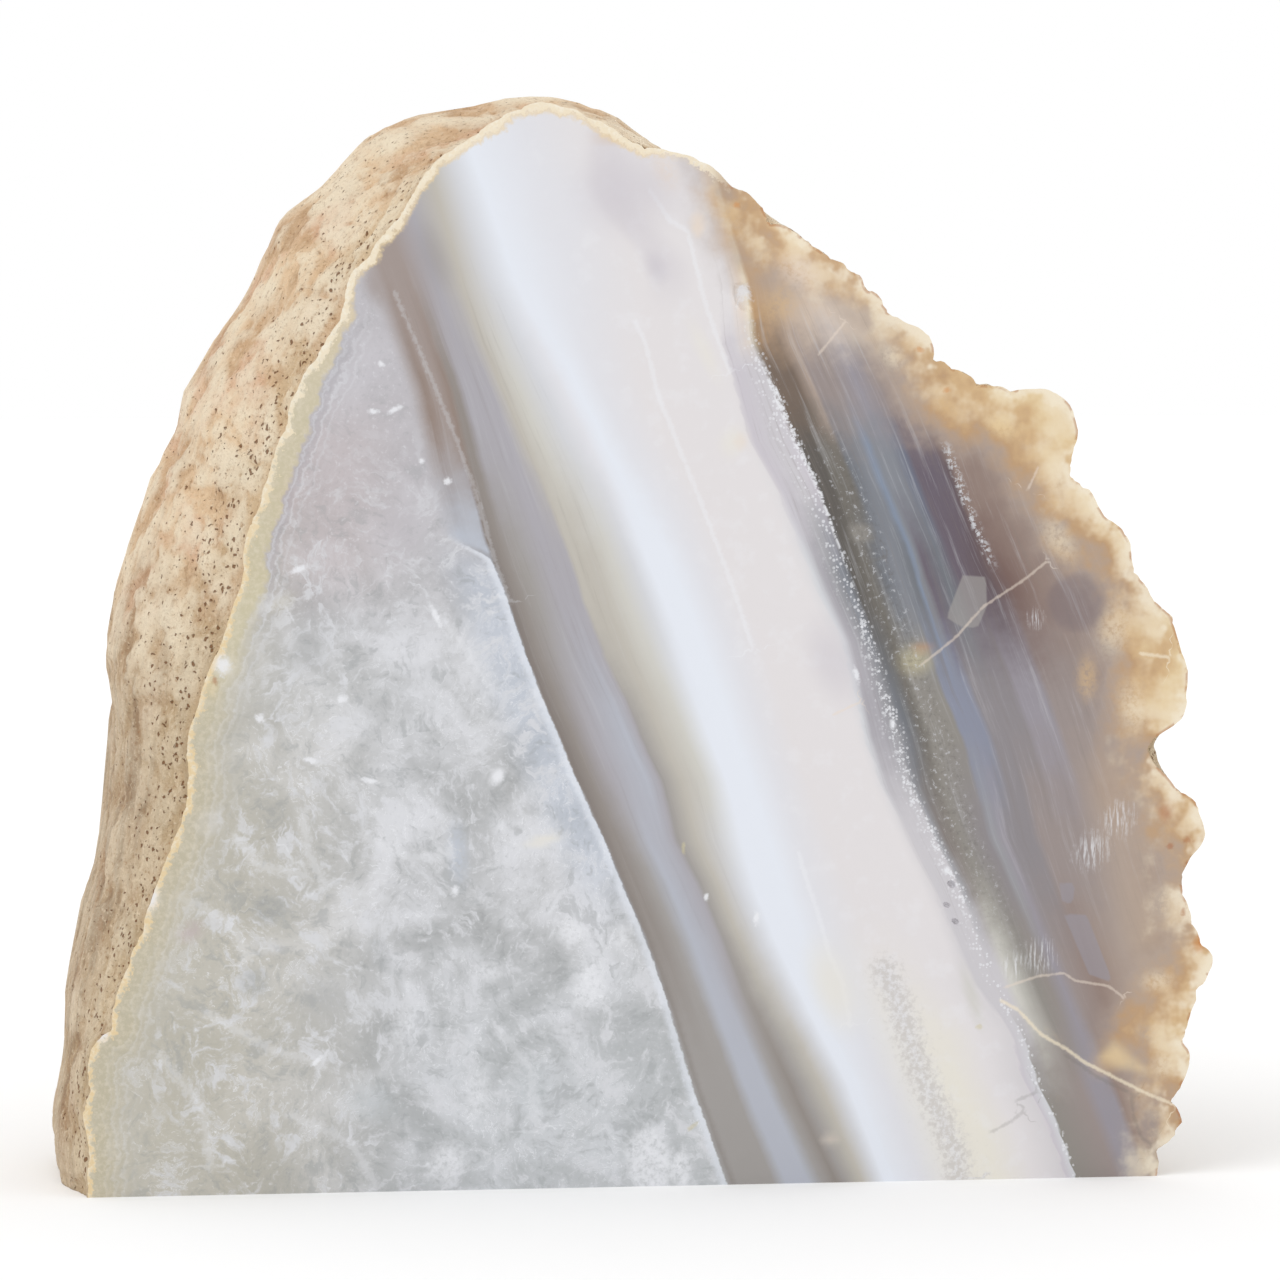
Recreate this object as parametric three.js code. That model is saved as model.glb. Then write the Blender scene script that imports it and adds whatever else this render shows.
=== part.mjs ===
// Agate display stone: the half of a nodule, sawn flat in front and polished, sawn flat below to stand on.
// The rest is the nodule's own rough skin. Millimetres, +Z up, the polished face looks along -Y.
// While the stone is built, the face lies in the plane y = 0, the sawn base in the plane z = 0, and
// the points of an outline are [across, up]. At the end the stone moves so that the origin is below
// the middle of its box.
import * as THREE from 'three';
import { ImprovedNoise } from 'three/addons/math/ImprovedNoise.js';

// Driving dimensions
const DEPTH = 46; // polished face to the back of the nodule
const SHOULDER_DEPTH = 22; // where the skin on the left stands out furthest
const HUB = { across: -2, up: 0 }; // the middle of the face's bottom edge, which every outline goes round

// The edge of the polished face, from its bottom left corner over the top to its bottom right corner
const FACE_LEFT = [
  [-53, 0], [-53, 6], [-53.5, 8.5], [-53, 11], [-52.5, 15.5], [-50.5, 16.5], [-50.5, 18.5],
  [-49, 23], [-47.5, 27], [-46, 31], [-44, 37], [-43, 39.5], [-43, 45], [-42, 49], [-40.5, 53],
  [-39, 57], [-37.5, 61], [-37, 65.5], [-35, 71], [-32, 80], [-30.5, 83], [-27.5, 88],
  [-26.5, 91.5], [-21.5, 97.5], [-19.5, 101], [-17, 103.5], [-13, 106], [-10, 108],
];
const FACE_TOP = [[-5.5, 108], [-2, 106.5], [1, 104.5], [5, 103.5], [8.5, 102.5], [11, 100]];
const FACE_RIGHT = [
  [12.5, 99.5], [14.5, 97.5], [15, 96.5], [16.5, 96], [18, 95], [20, 93.5], [21, 93], [23, 92],
  [24, 91.5], [25, 90], [26, 89.5], [25.5, 88], [27.5, 87], [28.5, 86.5], [30.5, 86], [31, 85.5],
  [30.5, 84], [31.5, 83], [33, 82.5], [35, 81.5], [36, 80.5], [37.5, 80.5], [39.5, 79.5], [41, 80],
  [43, 80], [44, 79.5], [45.5, 78.5], [46, 76], [46, 75], [45, 72.5], [45.5, 71], [47.5, 70],
  [48.5, 68.5], [49.5, 67], [51, 66], [51.5, 65], [51.5, 63], [52, 61.5], [53.5, 60], [54, 58.5],
  [56, 57], [56, 56], [57.5, 51.5], [57.5, 48.5], [57, 47], [55.5, 46], [54, 45], [53.5, 44],
  [54, 42.5], [55, 41], [56.5, 39.5], [58.5, 38], [59, 37], [59.5, 35], [59, 34], [58, 33],
  [57, 31], [57, 29.5], [58, 26.5], [58, 25.5], [59, 25], [59.5, 23.5], [60.5, 22.5], [60, 20.5],
  [59, 19], [58, 17], [57.5, 15], [57.5, 14], [58, 12.5], [58, 11.5], [57.5, 10], [56.5, 8.5],
  [56, 7.5], [57, 6.5], [57.5, 5.5], [56.5, 4.5], [56, 3.5], [55, 2.5], [55, 1.5], [54.5, 0],
];

// The same way round, the widest line of the skin on the left. On the right it only closes the line
const SHOULDER = [
  [-56, 0], [-56.5, 2], [-56.5, 6], [-55.5, 12], [-55, 20], [-54, 24], [-53, 28], [-51.5, 33],
  [-50.5, 40], [-50, 46.5], [-51, 53], [-50.5, 57], [-48, 65], [-45, 73], [-43, 76.5], [-43, 78],
  [-40, 84], [-36, 89.5], [-34.5, 93], [-33, 97], [-29, 100.5], [-26, 103.5], [-23.5, 106],
  [-20, 107.5], [-15, 108.5], [-9, 109.5], [-5, 109.5], [0, 108.5], [4, 106], [10, 103.5],
  [24, 93], [41, 73], [50, 50], [53, 25], [50, 0],
];

// How finely the skin is divided: depths of the rings in front of the shoulder, and for the rings behind
// it the steps round each of them, in groups of rings
const RIM_STEP = 1.4; // along the edge of the face
const FLANK_STEP = 1.8; // along the rings between the edge and the shoulder
const EDGE_DEPTHS = [0, 0.7, 1.8, 3.2];
const FLANK_DEPTHS = [5, 7, 9.2, 11.6, 14.2, 17, 19.6, SHOULDER_DEPTH];
const BACK_GROUPS = [
  { rings: 9, steps: 96 }, { rings: 8, steps: 72 }, { rings: 7, steps: 48 }, { rings: 5, steps: 30 },
  { rings: 3, steps: 14 },
];

// The hollows that show from a step away: angle round the hub in degrees, depth, half width, how deep
const HOLLOWS = [
  [168, 31, 5, 1.4], [150, 35, 7, 1.8], [131, 29, 5, 1.5], [118, 39, 6, 1.6], [104, 26, 4, 1.2],
  [96, 37, 6, 1.7], [84, 17, 5, 1.5], [71, 33, 6, 1.6], [62, 14, 4, 1.1], [48, 26, 6, 1.8],
  [36, 37, 5, 1.4], [27, 19, 4, 1.2], [14, 30, 6, 1.6], [160, 42, 5, 1.3], [58, 43, 6, 1.5],
];

const grain = new ImprovedNoise();
const { smoothstep, lerp, clamp, degToRad } = THREE.MathUtils;

const toPoint = ([across, up]) => new THREE.Vector2(across, up);

// A share that falls smoothly from 1 at no depth, through about a third at the depth of its range
const fading = (depth, range) => Math.exp(-Math.pow(depth / range, 1.4));

// A smooth line through the points of an outline, as points about one step apart
function smoothLine(outline, step) {
  const points = outline.map(([across, up]) => new THREE.Vector3(across, up, 0));
  const curve = new THREE.CatmullRomCurve3(points, false, 'centripetal');
  curve.arcLengthDivisions = 4000;
  return curve.getSpacedPoints(Math.round(curve.getLength() / step));
}

// A jagged line that keeps every corner of an outline, with more points on its longer sides
function jaggedLine(outline, step) {
  const corners = outline.map(toPoint);
  return corners.slice(1).flatMap((corner, i) => {
    const parts = Math.max(Math.round(corner.distanceTo(corners[i]) / step), 1);
    return Array.from({ length: parts }, (_, k) => corners[i].clone().lerp(corner, (k + 1) / parts));
  });
}

// Points as angles round the hub, from pi down to 0, with the distance from the hub at each. A point
// that would lie behind the one before it, in a notch, is left out
function polarLine(points) {
  const leastTurn = degToRad(0.12);
  const line = [];
  for (const { x, y } of points) {
    const angle = Math.atan2(Math.max(y - HUB.up, 0), x - HUB.across);
    const last = line[line.length - 1];
    if (!last || last.angle - angle > leastTurn) {
      line.push({ angle, reach: Math.hypot(x - HUB.across, y - HUB.up) });
    }
  }
  return line;
}

// Distance from the hub to a polar line at one angle
function reachAt(line, angle) {
  let after = line.findIndex((point) => point.angle <= angle);
  if (after < 0) after = line.length - 1;
  const before = Math.max(after - 1, 0);
  const span = line[before].angle - line[after].angle;
  const share = span > 0 ? clamp((line[before].angle - angle) / span, 0, 1) : 0;
  return lerp(line[before].reach, line[after].reach, share);
}

// A polar line with its scallops averaged out over a window of so many degrees either way
function withoutScallops(line, degrees) {
  const looks = 8;
  return line.map(({ angle }) => {
    let sum = 0;
    for (let i = -looks; i <= looks; i++) {
      sum += reachAt(line, clamp(angle + (degToRad(degrees) * i) / looks, 0, Math.PI));
    }
    return { angle, reach: sum / (2 * looks + 1) };
  });
}

const faceLine = polarLine([
  ...smoothLine([...FACE_LEFT, ...FACE_TOP], RIM_STEP),
  ...jaggedLine([FACE_TOP[FACE_TOP.length - 1], ...FACE_RIGHT], RIM_STEP),
]);
const lobedFaceLine = withoutScallops(faceLine, 6);
const calmFaceLine = withoutScallops(faceLine, 20);
const shoulderLine = polarLine(smoothLine(SHOULDER, RIM_STEP));
const calmShoulderLine = withoutScallops(shoulderLine, 12);

// The edge's own reach at an angle, which loses first its scallops and then its lobes as the skin runs back
function edgeReach(angle, depth) {
  const lobes = lerp(reachAt(lobedFaceLine, angle), reachAt(faceLine, angle), fading(depth, 4));
  return lerp(reachAt(calmFaceLine, angle), lobes, fading(depth, 9));
}

// How far the skin reaches from the hub where it stands out to a shoulder: the left and the top
function flaredReach(faceReach, angle, depth) {
  const calm = smoothstep(depth, SHOULDER_DEPTH, SHOULDER_DEPTH + 8);
  const shoulder = lerp(reachAt(shoulderLine, angle), reachAt(calmShoulderLine, angle), calm);
  if (depth <= SHOULDER_DEPTH) {
    const share = Math.sin((Math.PI / 2) * Math.pow(depth / SHOULDER_DEPTH, 0.9));
    return lerp(faceReach, shoulder, share);
  }
  const behind = (depth - SHOULDER_DEPTH) / (DEPTH - SHOULDER_DEPTH);
  return shoulder * Math.pow(Math.max(1 - Math.pow(behind, 2.2), 0), 0.5);
}

// The same on the right, where the skin runs in behind a thin edge
function wedgedReach(faceReach, depth) {
  return faceReach * Math.pow(Math.max(1 - Math.pow(depth / DEPTH, 1.15), 0), 0.6);
}

// A point of the skin before it gets its lumps, at an angle round the hub and a nominal depth
function calmSkin(angle, depth) {
  const faceReach = edgeReach(angle, depth);
  const wedge = 1 - smoothstep(angle, degToRad(50), degToRad(88));
  const reach = lerp(flaredReach(faceReach, angle, depth), wedgedReach(faceReach, depth), wedge);
  const up = HUB.up + reach * Math.sin(angle);
  const tuckedIn = 1 - 0.13 * Math.exp(-Math.pow(up / 18, 2)); // the back leans in towards the base
  return new THREE.Vector3(HUB.across + reach * Math.cos(angle), depth * tuckedIn, up);
}

// The direction straight out of the skin there
function outward(angle, depth) {
  const small = 0.06;
  const turnTo = clamp(angle + small, 0, Math.PI);
  const turnFrom = clamp(angle - small, 0, Math.PI);
  const deeper = Math.min(depth + 0.5, DEPTH - 0.05);
  const shallower = Math.max(deeper - 1, 0);
  const round = calmSkin(turnTo, depth).sub(calmSkin(turnFrom, depth));
  const back = calmSkin(angle, deeper).sub(calmSkin(angle, shallower));
  return back.cross(round).normalize();
}

// Rounded lumps: broad swellings with smaller knobs on them
function lumps({ x, y, z }) {
  const broad = grain.noise(x / 17 + 3.1, y / 17 + 7.7, z / 17 + 1.3);
  const knobs = 0.1 - Math.abs(grain.noise(x / 9 + 11.2, y / 9 + 4.6, z / 9 + 9.4));
  return 2.4 * broad + 3.2 * knobs;
}

// Ledges where the skin has broken in steps, which fall away down the right and the back
function ledges({ x, y, z }) {
  const wander = 0.7 * grain.noise(x / 24 + 5.5, y / 24 + 2.2, z / 24 + 8.8);
  const step = (0.85 * z + 0.5 * y - 0.2 * x) / 17 + wander;
  const along = step - Math.floor(step);
  return 1.5 * (smoothstep(along, 0, 0.6) - smoothstep(along, 0.64, 1)) - 0.75;
}

// A low ridge that runs along the left flank, a third of the way to the shoulder
function ridge(angle, depth) {
  const onFlank = smoothstep(angle, degToRad(108), degToRad(122));
  return 0.55 * onFlank * Math.exp(-Math.pow((depth - 9) / 2.6, 2));
}

function hollows(point) {
  let sunk = 0;
  for (const [degrees, depth, halfWidth, deep] of HOLLOWS) {
    const away = point.distanceTo(calmSkin(degToRad(degrees), depth)) / halfWidth;
    sunk += deep * Math.exp(-away * away * 1.6);
  }
  return sunk;
}

// The finished skin: the calm form with its lumps, ledges, ridge and hollows. The front of the left flank
// and of the top is smoother than the rest
function skinPoint(angle, depth) {
  const point = calmSkin(angle, depth);
  if (depth === 0) return point;
  const smoother = smoothstep(angle, degToRad(74), degToRad(92)) * (1 - smoothstep(depth, 23, 34));
  const fromEdge = 1 - fading(depth, 4);
  const rough = lerp(1, 0.12, smoother) * lumps(point) + lerp(1, 0.06, smoother) * ledges(point);
  const move = outward(angle, depth).multiplyScalar(
    fromEdge * (rough - hollows(point)) + ridge(angle, depth),
  );
  move.z *= smoothstep(point.z, 0, 6);
  move.y *= smoothstep(point.y, 0, 3);
  return point.add(move);
}

// Angles that divide the calm skin at one depth into equal steps round the hub, from pi down to 0
function evenAngles(depth, steps) {
  const fine = Array.from({ length: 721 }, (_, k) => Math.PI * (1 - k / 720));
  const points = fine.map((angle) => calmSkin(angle, depth));
  const lengths = [0];
  for (let k = 1; k < points.length; k++) {
    lengths.push(lengths[k - 1] + points[k].distanceTo(points[k - 1]));
  }
  return Array.from({ length: steps + 1 }, (_, i) => {
    const target = (lengths[lengths.length - 1] * i) / steps;
    return fine[lengths.findIndex((length) => length >= target - 1e-9)];
  });
}

// A ring of the skin at one depth, from the base on the left over the top to the base on the right
function skinRing(depth, angles) {
  const ring = angles.map((angle) => ({ angle, point: skinPoint(angle, depth) }));
  ring[0].point.z = ring[ring.length - 1].point.z = 0;
  return ring;
}

// All the rings from the edge of the face to the middle of the back, where they close in one point
function skinRings() {
  const edgeAngles = faceLine.map(({ angle }) => angle);
  const flankAngles = evenAngles(7, Math.round(((edgeAngles.length - 1) * RIM_STEP) / FLANK_STEP));
  const rings = [
    ...EDGE_DEPTHS.map((depth) => skinRing(depth, edgeAngles)),
    ...FLANK_DEPTHS.map((depth) => skinRing(depth, flankAngles)),
  ];
  const backRings = BACK_GROUPS.reduce((sum, group) => sum + group.rings, 0);
  let number = 1;
  for (const group of BACK_GROUPS) {
    const angles = evenAngles(SHOULDER_DEPTH + 6, group.steps);
    for (let k = 0; k < group.rings; k++) {
      const share = number / (backRings + 1);
      const around = lerp(Math.cos((Math.PI / 2) * share), 1 - share, 0.5);
      rings.push(skinRing(lerp(SHOULDER_DEPTH, DEPTH, Math.sqrt(1 - around * around)), angles));
      number += 1;
    }
  }
  rings.push([{ angle: 0, point: skinPoint(Math.PI / 2, DEPTH).setZ(0) }]);
  return rings;
}

// Triangles between two rings whose points may stand at different angles
function joinRings(front, back, triangles) {
  let i = 0;
  let j = 0;
  while (i < front.length - 1 || j < back.length - 1) {
    const frontNext = i < front.length - 1 ? front[i + 1].angle : -1;
    const backNext = j < back.length - 1 ? back[j + 1].angle : -1;
    if (frontNext >= backNext) {
      triangles.push(front[i].number, front[i + 1].number, back[j].number);
      i += 1;
    } else {
      triangles.push(front[i].number, back[j + 1].number, back[j].number);
      j += 1;
    }
  }
}

// Triangles that fill a flat outline, given as point numbers and their places in its plane as seen
// from outside the stone
function fillFlat(numbers, places, triangles) {
  const fill = THREE.ShapeUtils.triangulateShape(places, []);
  const turns = fill.map((corners) => THREE.ShapeUtils.area(corners.map((k) => places[k])));
  const facesOut = turns.reduce((sum, turn) => sum + turn, 0) > 0;
  for (const corners of fill) {
    if (!facesOut) corners.reverse();
    triangles.push(...corners.map((k) => numbers[k]));
  }
}

function agateGeometry() {
  const rings = skinRings();
  const points = rings.flat().map((station, number) => {
    station.number = number;
    return station.point;
  });
  const triangles = [];
  for (let i = 0; i < rings.length - 1; i++) joinRings(rings[i], rings[i + 1], triangles);

  const face = rings[0].map(({ number }) => number);
  fillFlat(face, face.map((k) => new THREE.Vector2(points[k].x, points[k].z)), triangles);

  const leftEdge = rings.map((ring) => ring[0].number);
  const rightEdge = rings.slice(0, -1).map((ring) => ring[ring.length - 1].number);
  const base = [...leftEdge, ...rightEdge.reverse()];
  fillFlat(base, base.map((k) => new THREE.Vector2(points[k].x, -points[k].y)), triangles);

  const geometry = new THREE.BufferGeometry().setFromPoints(points);
  geometry.setIndex(triangles);
  geometry.computeBoundingBox();
  const { min, max } = geometry.boundingBox;
  geometry.translate(-(min.x + max.x) / 2, -(min.y + max.y) / 2, -min.z);
  geometry.computeVertexNormals();
  return geometry;
}

const stone = new THREE.MeshStandardMaterial({ color: '#c4c0ba', roughness: 0.3, metalness: 0 });
const agate = new THREE.Mesh(agateGeometry(), stone);
agate.name = 'agate';

const group = new THREE.Group();
group.add(agate);
export default group;
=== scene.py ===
# %% [markdown]
# # A standing agate
#
# The stone is half of a nodule. It grew as one piece, so it stays one closed mesh here too: a rough skin
# round the back, one polished face in front, and one sawn face below, on which it stands. The solid
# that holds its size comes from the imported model. This script gives it the fine relief of the skin, the
# ragged rim, and the bands, clouds and stains that the polish shows.
#
# Everything is in metres in the frame of the solid. Inside the script the stone is measured in
# millimetres on its own rulers: across the polished face, up from the base, and deep behind the face.

# %% Load the solid and keep its box
import math

import bmesh
import bpy
import numpy as np
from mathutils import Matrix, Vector
from mathutils.geometry import delaunay_2d_cdt


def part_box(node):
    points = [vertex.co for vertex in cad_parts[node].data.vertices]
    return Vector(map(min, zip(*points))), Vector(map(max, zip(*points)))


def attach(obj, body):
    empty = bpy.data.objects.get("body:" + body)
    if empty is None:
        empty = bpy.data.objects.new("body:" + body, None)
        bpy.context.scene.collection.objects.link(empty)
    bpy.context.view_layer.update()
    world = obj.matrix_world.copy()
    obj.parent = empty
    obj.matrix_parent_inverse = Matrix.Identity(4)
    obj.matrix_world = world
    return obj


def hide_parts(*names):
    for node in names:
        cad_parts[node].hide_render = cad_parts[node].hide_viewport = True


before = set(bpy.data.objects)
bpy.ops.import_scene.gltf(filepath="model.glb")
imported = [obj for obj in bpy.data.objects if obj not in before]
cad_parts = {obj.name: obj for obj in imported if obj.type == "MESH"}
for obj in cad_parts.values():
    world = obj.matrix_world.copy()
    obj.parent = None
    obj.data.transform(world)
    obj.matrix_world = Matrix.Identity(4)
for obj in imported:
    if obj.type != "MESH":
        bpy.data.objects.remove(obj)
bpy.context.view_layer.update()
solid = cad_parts["agate"]

# %% [markdown]
# ## The stone's own rulers
#
# The bottom left corner of the polished face is a point that is easy to find again in any view of the
# stone, so the ruler across the face is hung on it.

# %% Rulers in millimetres
MM = 0.001
LEFT_CORNER = -53.0  # the face's bottom left corner on the ruler across
FLAT = 1e-6  # points this close to a sawn plane lie in it, m

low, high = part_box("agate")
FACE_Y = low.y
left_corner_x = min(
    v.co.x for v in solid.data.vertices if v.co.y < FACE_Y + FLAT and v.co.z < FLAT
)
ACROSS_ZERO = left_corner_x - LEFT_CORNER * MM


def on_rulers(points):
    """Points in metres as rows of across, deep and up, in millimetres."""
    return (np.asarray(points, float) - (ACROSS_ZERO, FACE_Y, 0.0)) / MM


def off_rulers(rows):
    """The same the other way round."""
    return np.asarray(rows, float) * MM + (ACROSS_ZERO, FACE_Y, 0.0)


print("across = 0 lies at x =", round(ACROSS_ZERO * 1000, 2), "mm")

# %% [markdown]
# ## The skin as a fine net
#
# The solid's skin is made of facets one to four millimetres wide. Smoothing it twice with a subdivision
# surface rounds the facets off and gives a net fine enough to carry relief. The front of the left flank
# is the part of the skin that one sees next to the polish, with pits under half a millimetre wide, so
# its net is cut once more. The two sawn faces are taken off first and put back at the end: they are
# flat, and want points of another kind.


# %% Take the skin off the solid
def is_sawn(face):
    """True for a facet of the polished face or of the base."""
    in_front = all(v.co.y < FACE_Y + FLAT for v in face.verts)
    below = all(v.co.z < FLAT for v in face.verts)
    return in_front or below


BREAK_FROM = 12.0  # right of here the rim is a fresh break with sharp corners
BREAK_CREASE = 0.85  # how sharp those corners stay
JOIN_ANGLE, JOIN_SHAPE = math.radians(50), math.radians(60)  # how far two joined triangles may bend


def bare_skin():
    """A merged copy of the solid without its sawn faces, with most triangles joined to quads."""
    skin = bmesh.new()
    skin.from_mesh(solid.data)
    bmesh.ops.remove_doubles(skin, verts=skin.verts, dist=FLAT)
    bmesh.ops.delete(skin, geom=[f for f in skin.faces if is_sawn(f)], context="FACES")
    bmesh.ops.join_triangles(
        skin, faces=skin.faces, angle_face_threshold=JOIN_ANGLE, angle_shape_threshold=JOIN_SHAPE
    )
    edge_crease = skin.edges.layers.float.new("crease_edge")
    corner_crease = skin.verts.layers.float.new("crease_vert")
    for edge in skin.edges:
        edge[edge_crease] = 1.0 if edge.is_boundary else 0.0
    for corner in skin.verts:
        broken = (corner.co.x - ACROSS_ZERO) / MM > BREAK_FROM
        corner[corner_crease] = BREAK_CREASE if corner.is_boundary and broken else 0.0
    mesh = bpy.data.meshes.new("skin")
    skin.to_mesh(mesh)
    skin.free()
    return mesh


def as_object(name, mesh):
    made = bpy.data.objects.new(name, mesh)
    bpy.context.scene.collection.objects.link(made)
    return made


def finished_mesh(thing):
    """The mesh of an object with its modifiers worked in."""
    bpy.context.view_layer.update()
    return bpy.data.meshes.new_from_object(
        thing.evaluated_get(bpy.context.evaluated_depsgraph_get())
    )


SKIN_LEVELS = 2

skin = as_object("skin", bare_skin())
smooth = skin.modifiers.new("round_off", "SUBSURF")
smooth.levels = smooth.render_levels = SKIN_LEVELS
skin_mesh = finished_mesh(skin)
skin.modifiers.clear()
print("skin net:", len(skin_mesh.polygons), "faces")

# %% Cut the net of the left flank finer
FINE_DEPTH = 10.5  # how far behind the rim the finer net runs, mm
FINE_FROM = math.radians(97)  # it covers the flank from here round to the base on the left
STONE_MIDDLE = -2.0  # the middle of the stone on the ruler across


def ruled(point):
    """Across, deep and up of one point."""
    return (point - Vector((ACROSS_ZERO, FACE_Y, 0))) / MM


def on_left_flank(point):
    across, deep, up = ruled(point)
    return deep < FINE_DEPTH and math.atan2(up, across - STONE_MIDDLE) > FINE_FROM


fine = bmesh.new()
fine.from_mesh(skin_mesh)
near = {v for v in fine.verts if on_left_flank(v.co)}
bmesh.ops.subdivide_edges(
    fine, edges=[e for e in fine.edges if e.verts[0] in near and e.verts[1] in near],
    cuts=1, use_grid_fill=True,
)
fine.to_mesh(skin_mesh)
fine.free()
skin.data = skin_mesh
print("with the finer flank:", len(skin_mesh.polygons), "faces")

# %% Thin the net out behind
# what the skin may use of the stone's share of triangles
SKIN_TRIANGLES = 122000  # the number of triangles that sets how far the skin is thinned
REAR_FROM, REAR_FULL = 11.0, 18.0  # depths between which the thinning sets in, mm
FOOT_HEIGHT = 2.0  # the net isn't thinned below this height, mm


def triangles_in(mesh):
    return sum(len(face.vertices) - 2 for face in mesh.polygons)


rear = skin.vertex_groups.new(name="rear")
for vertex in skin.data.vertices:
    across, deep, up = ruled(vertex.co)
    if deep > REAR_FROM and up > FOOT_HEIGHT:
        share = min((deep - REAR_FROM) / (REAR_FULL - REAR_FROM), 1.0)
        rear.add([vertex.index], share, "REPLACE")
thin = skin.modifiers.new("thin_out", "DECIMATE")
thin.ratio = SKIN_TRIANGLES / triangles_in(skin.data)
thin.vertex_group = "rear"
skin.data = finished_mesh(skin)
skin.modifiers.clear()
skin.vertex_groups.clear()
print("thinned out:", triangles_in(skin.data), "triangles")

# %% [markdown]
# ## Relief of the skin
#
# The skin of such a nodule is a crust that grew against the wall of a gas bubble: knobs, shallow
# ledges, fine pits and a sandy grain. All of it follows the surface and repeats by a rule, which is what
# Geometry Nodes are for. The tree pushes each point along its normal. Two things may not move: points
# of the rim stay in the plane of the polish, and points of the base edge in the plane of the base. An
# attribute called hold says how much of each direction a point may use.

# %% Helpers for node trees


class Value:
    """What a node gives. Adding, subtracting or multiplying it makes the next node."""

    def __init__(self, socket):
        self.socket, self.tree = socket, socket.id_data

    def other(self, output):
        """Something else that the same node gives."""
        return Value(self.socket.node.outputs[output])

    def into(self, socket):
        self.tree.links.new(self.socket, socket)

    def __add__(self, more):
        return calc("ADD", self, more)

    def __sub__(self, less):
        return calc("SUBTRACT", self, less)

    def __rsub__(self, whole):
        return calc("SUBTRACT", whole, self)

    def __mul__(self, factor):
        return calc("MULTIPLY", self, factor)


def add(tree, kind, inputs=(), **settings):
    """One node, with its settings and what goes into its sockets: numbers or values."""
    node = tree.nodes.new(kind)
    for name, setting in settings.items():
        setattr(node, name, setting)
    for key, given in dict(inputs).items():
        if isinstance(given, Value):
            given.into(node.inputs[key])
        else:
            node.inputs[key].default_value = given
    return node


def worked(kind, inputs, output=0, **settings):
    """What a new node makes of its inputs, in the tree that they come from."""
    tree = next(given.tree for given in inputs.values() if isinstance(given, Value))
    return Value(add(tree, kind, inputs, **settings).outputs[output])


def calc(operation, *values):
    """One step of arithmetic."""
    return worked("ShaderNodeMath", dict(enumerate(values)), operation=operation)


def vector_calc(operation, *values):
    output = "Value" if operation == "LENGTH" else "Vector"
    return worked("ShaderNodeVectorMath", dict(enumerate(values)), output, operation=operation)


def scaled(vector, factor):
    return worked("ShaderNodeVectorMath", {0: vector, "Scale": factor}, operation="SCALE")


def split(vector):
    """The three numbers of a vector or a colour."""
    node = add(vector.tree, "ShaderNodeSeparateXYZ", {0: vector})
    return [Value(output) for output in node.outputs]


def fade(value, start, end, low=0.0, high=1.0):
    """A soft step: low up to start, high from end on."""
    inputs = {0: value, 1: start, 2: end, 3: low, 4: high}
    return worked("ShaderNodeMapRange", inputs, interpolation_type="SMOOTHSTEP")


def noise(place, size, detail=2.0, roughness=0.5, distortion=0.0, dimensions="3D"):
    """Cloudy noise whose blots are about size millimetres wide."""
    inputs = {
        "Vector": place, "Scale": 1 / size, "Detail": detail, "Roughness": roughness,
        "Distortion": distortion,
    }
    return worked("ShaderNodeTexNoise", inputs, noise_dimensions=dimensions)


def cells(place, size, dimensions="3D"):
    """The distance from the hearts of random cells that are about size millimetres wide."""
    inputs = {"Vector": place, "Scale": 1 / size}
    return worked("ShaderNodeTexVoronoi", inputs, "Distance", voronoi_dimensions=dimensions)


def new_tree(name, kind, inputs, outputs):
    """A node group with named sockets, the values that go into it, and its output node."""
    tree = bpy.data.node_groups.new(name, kind)
    for side, sockets in (("INPUT", inputs), ("OUTPUT", outputs)):
        for socket_name, socket_kind, *default in sockets:
            socket = tree.interface.new_socket(
                socket_name, in_out=side, socket_type="NodeSocket" + socket_kind
            )
            if default:
                socket.default_value = default[0]
    given = {s.name: Value(s) for s in tree.nodes.new("NodeGroupInput").outputs if s.name}
    return tree, given, tree.nodes.new("NodeGroupOutput")


# %% The relief tree
STREAK_PULL = (0.9, 0.9, 0.16)  # streaks are about a millimetre wide and six long, upright


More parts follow.
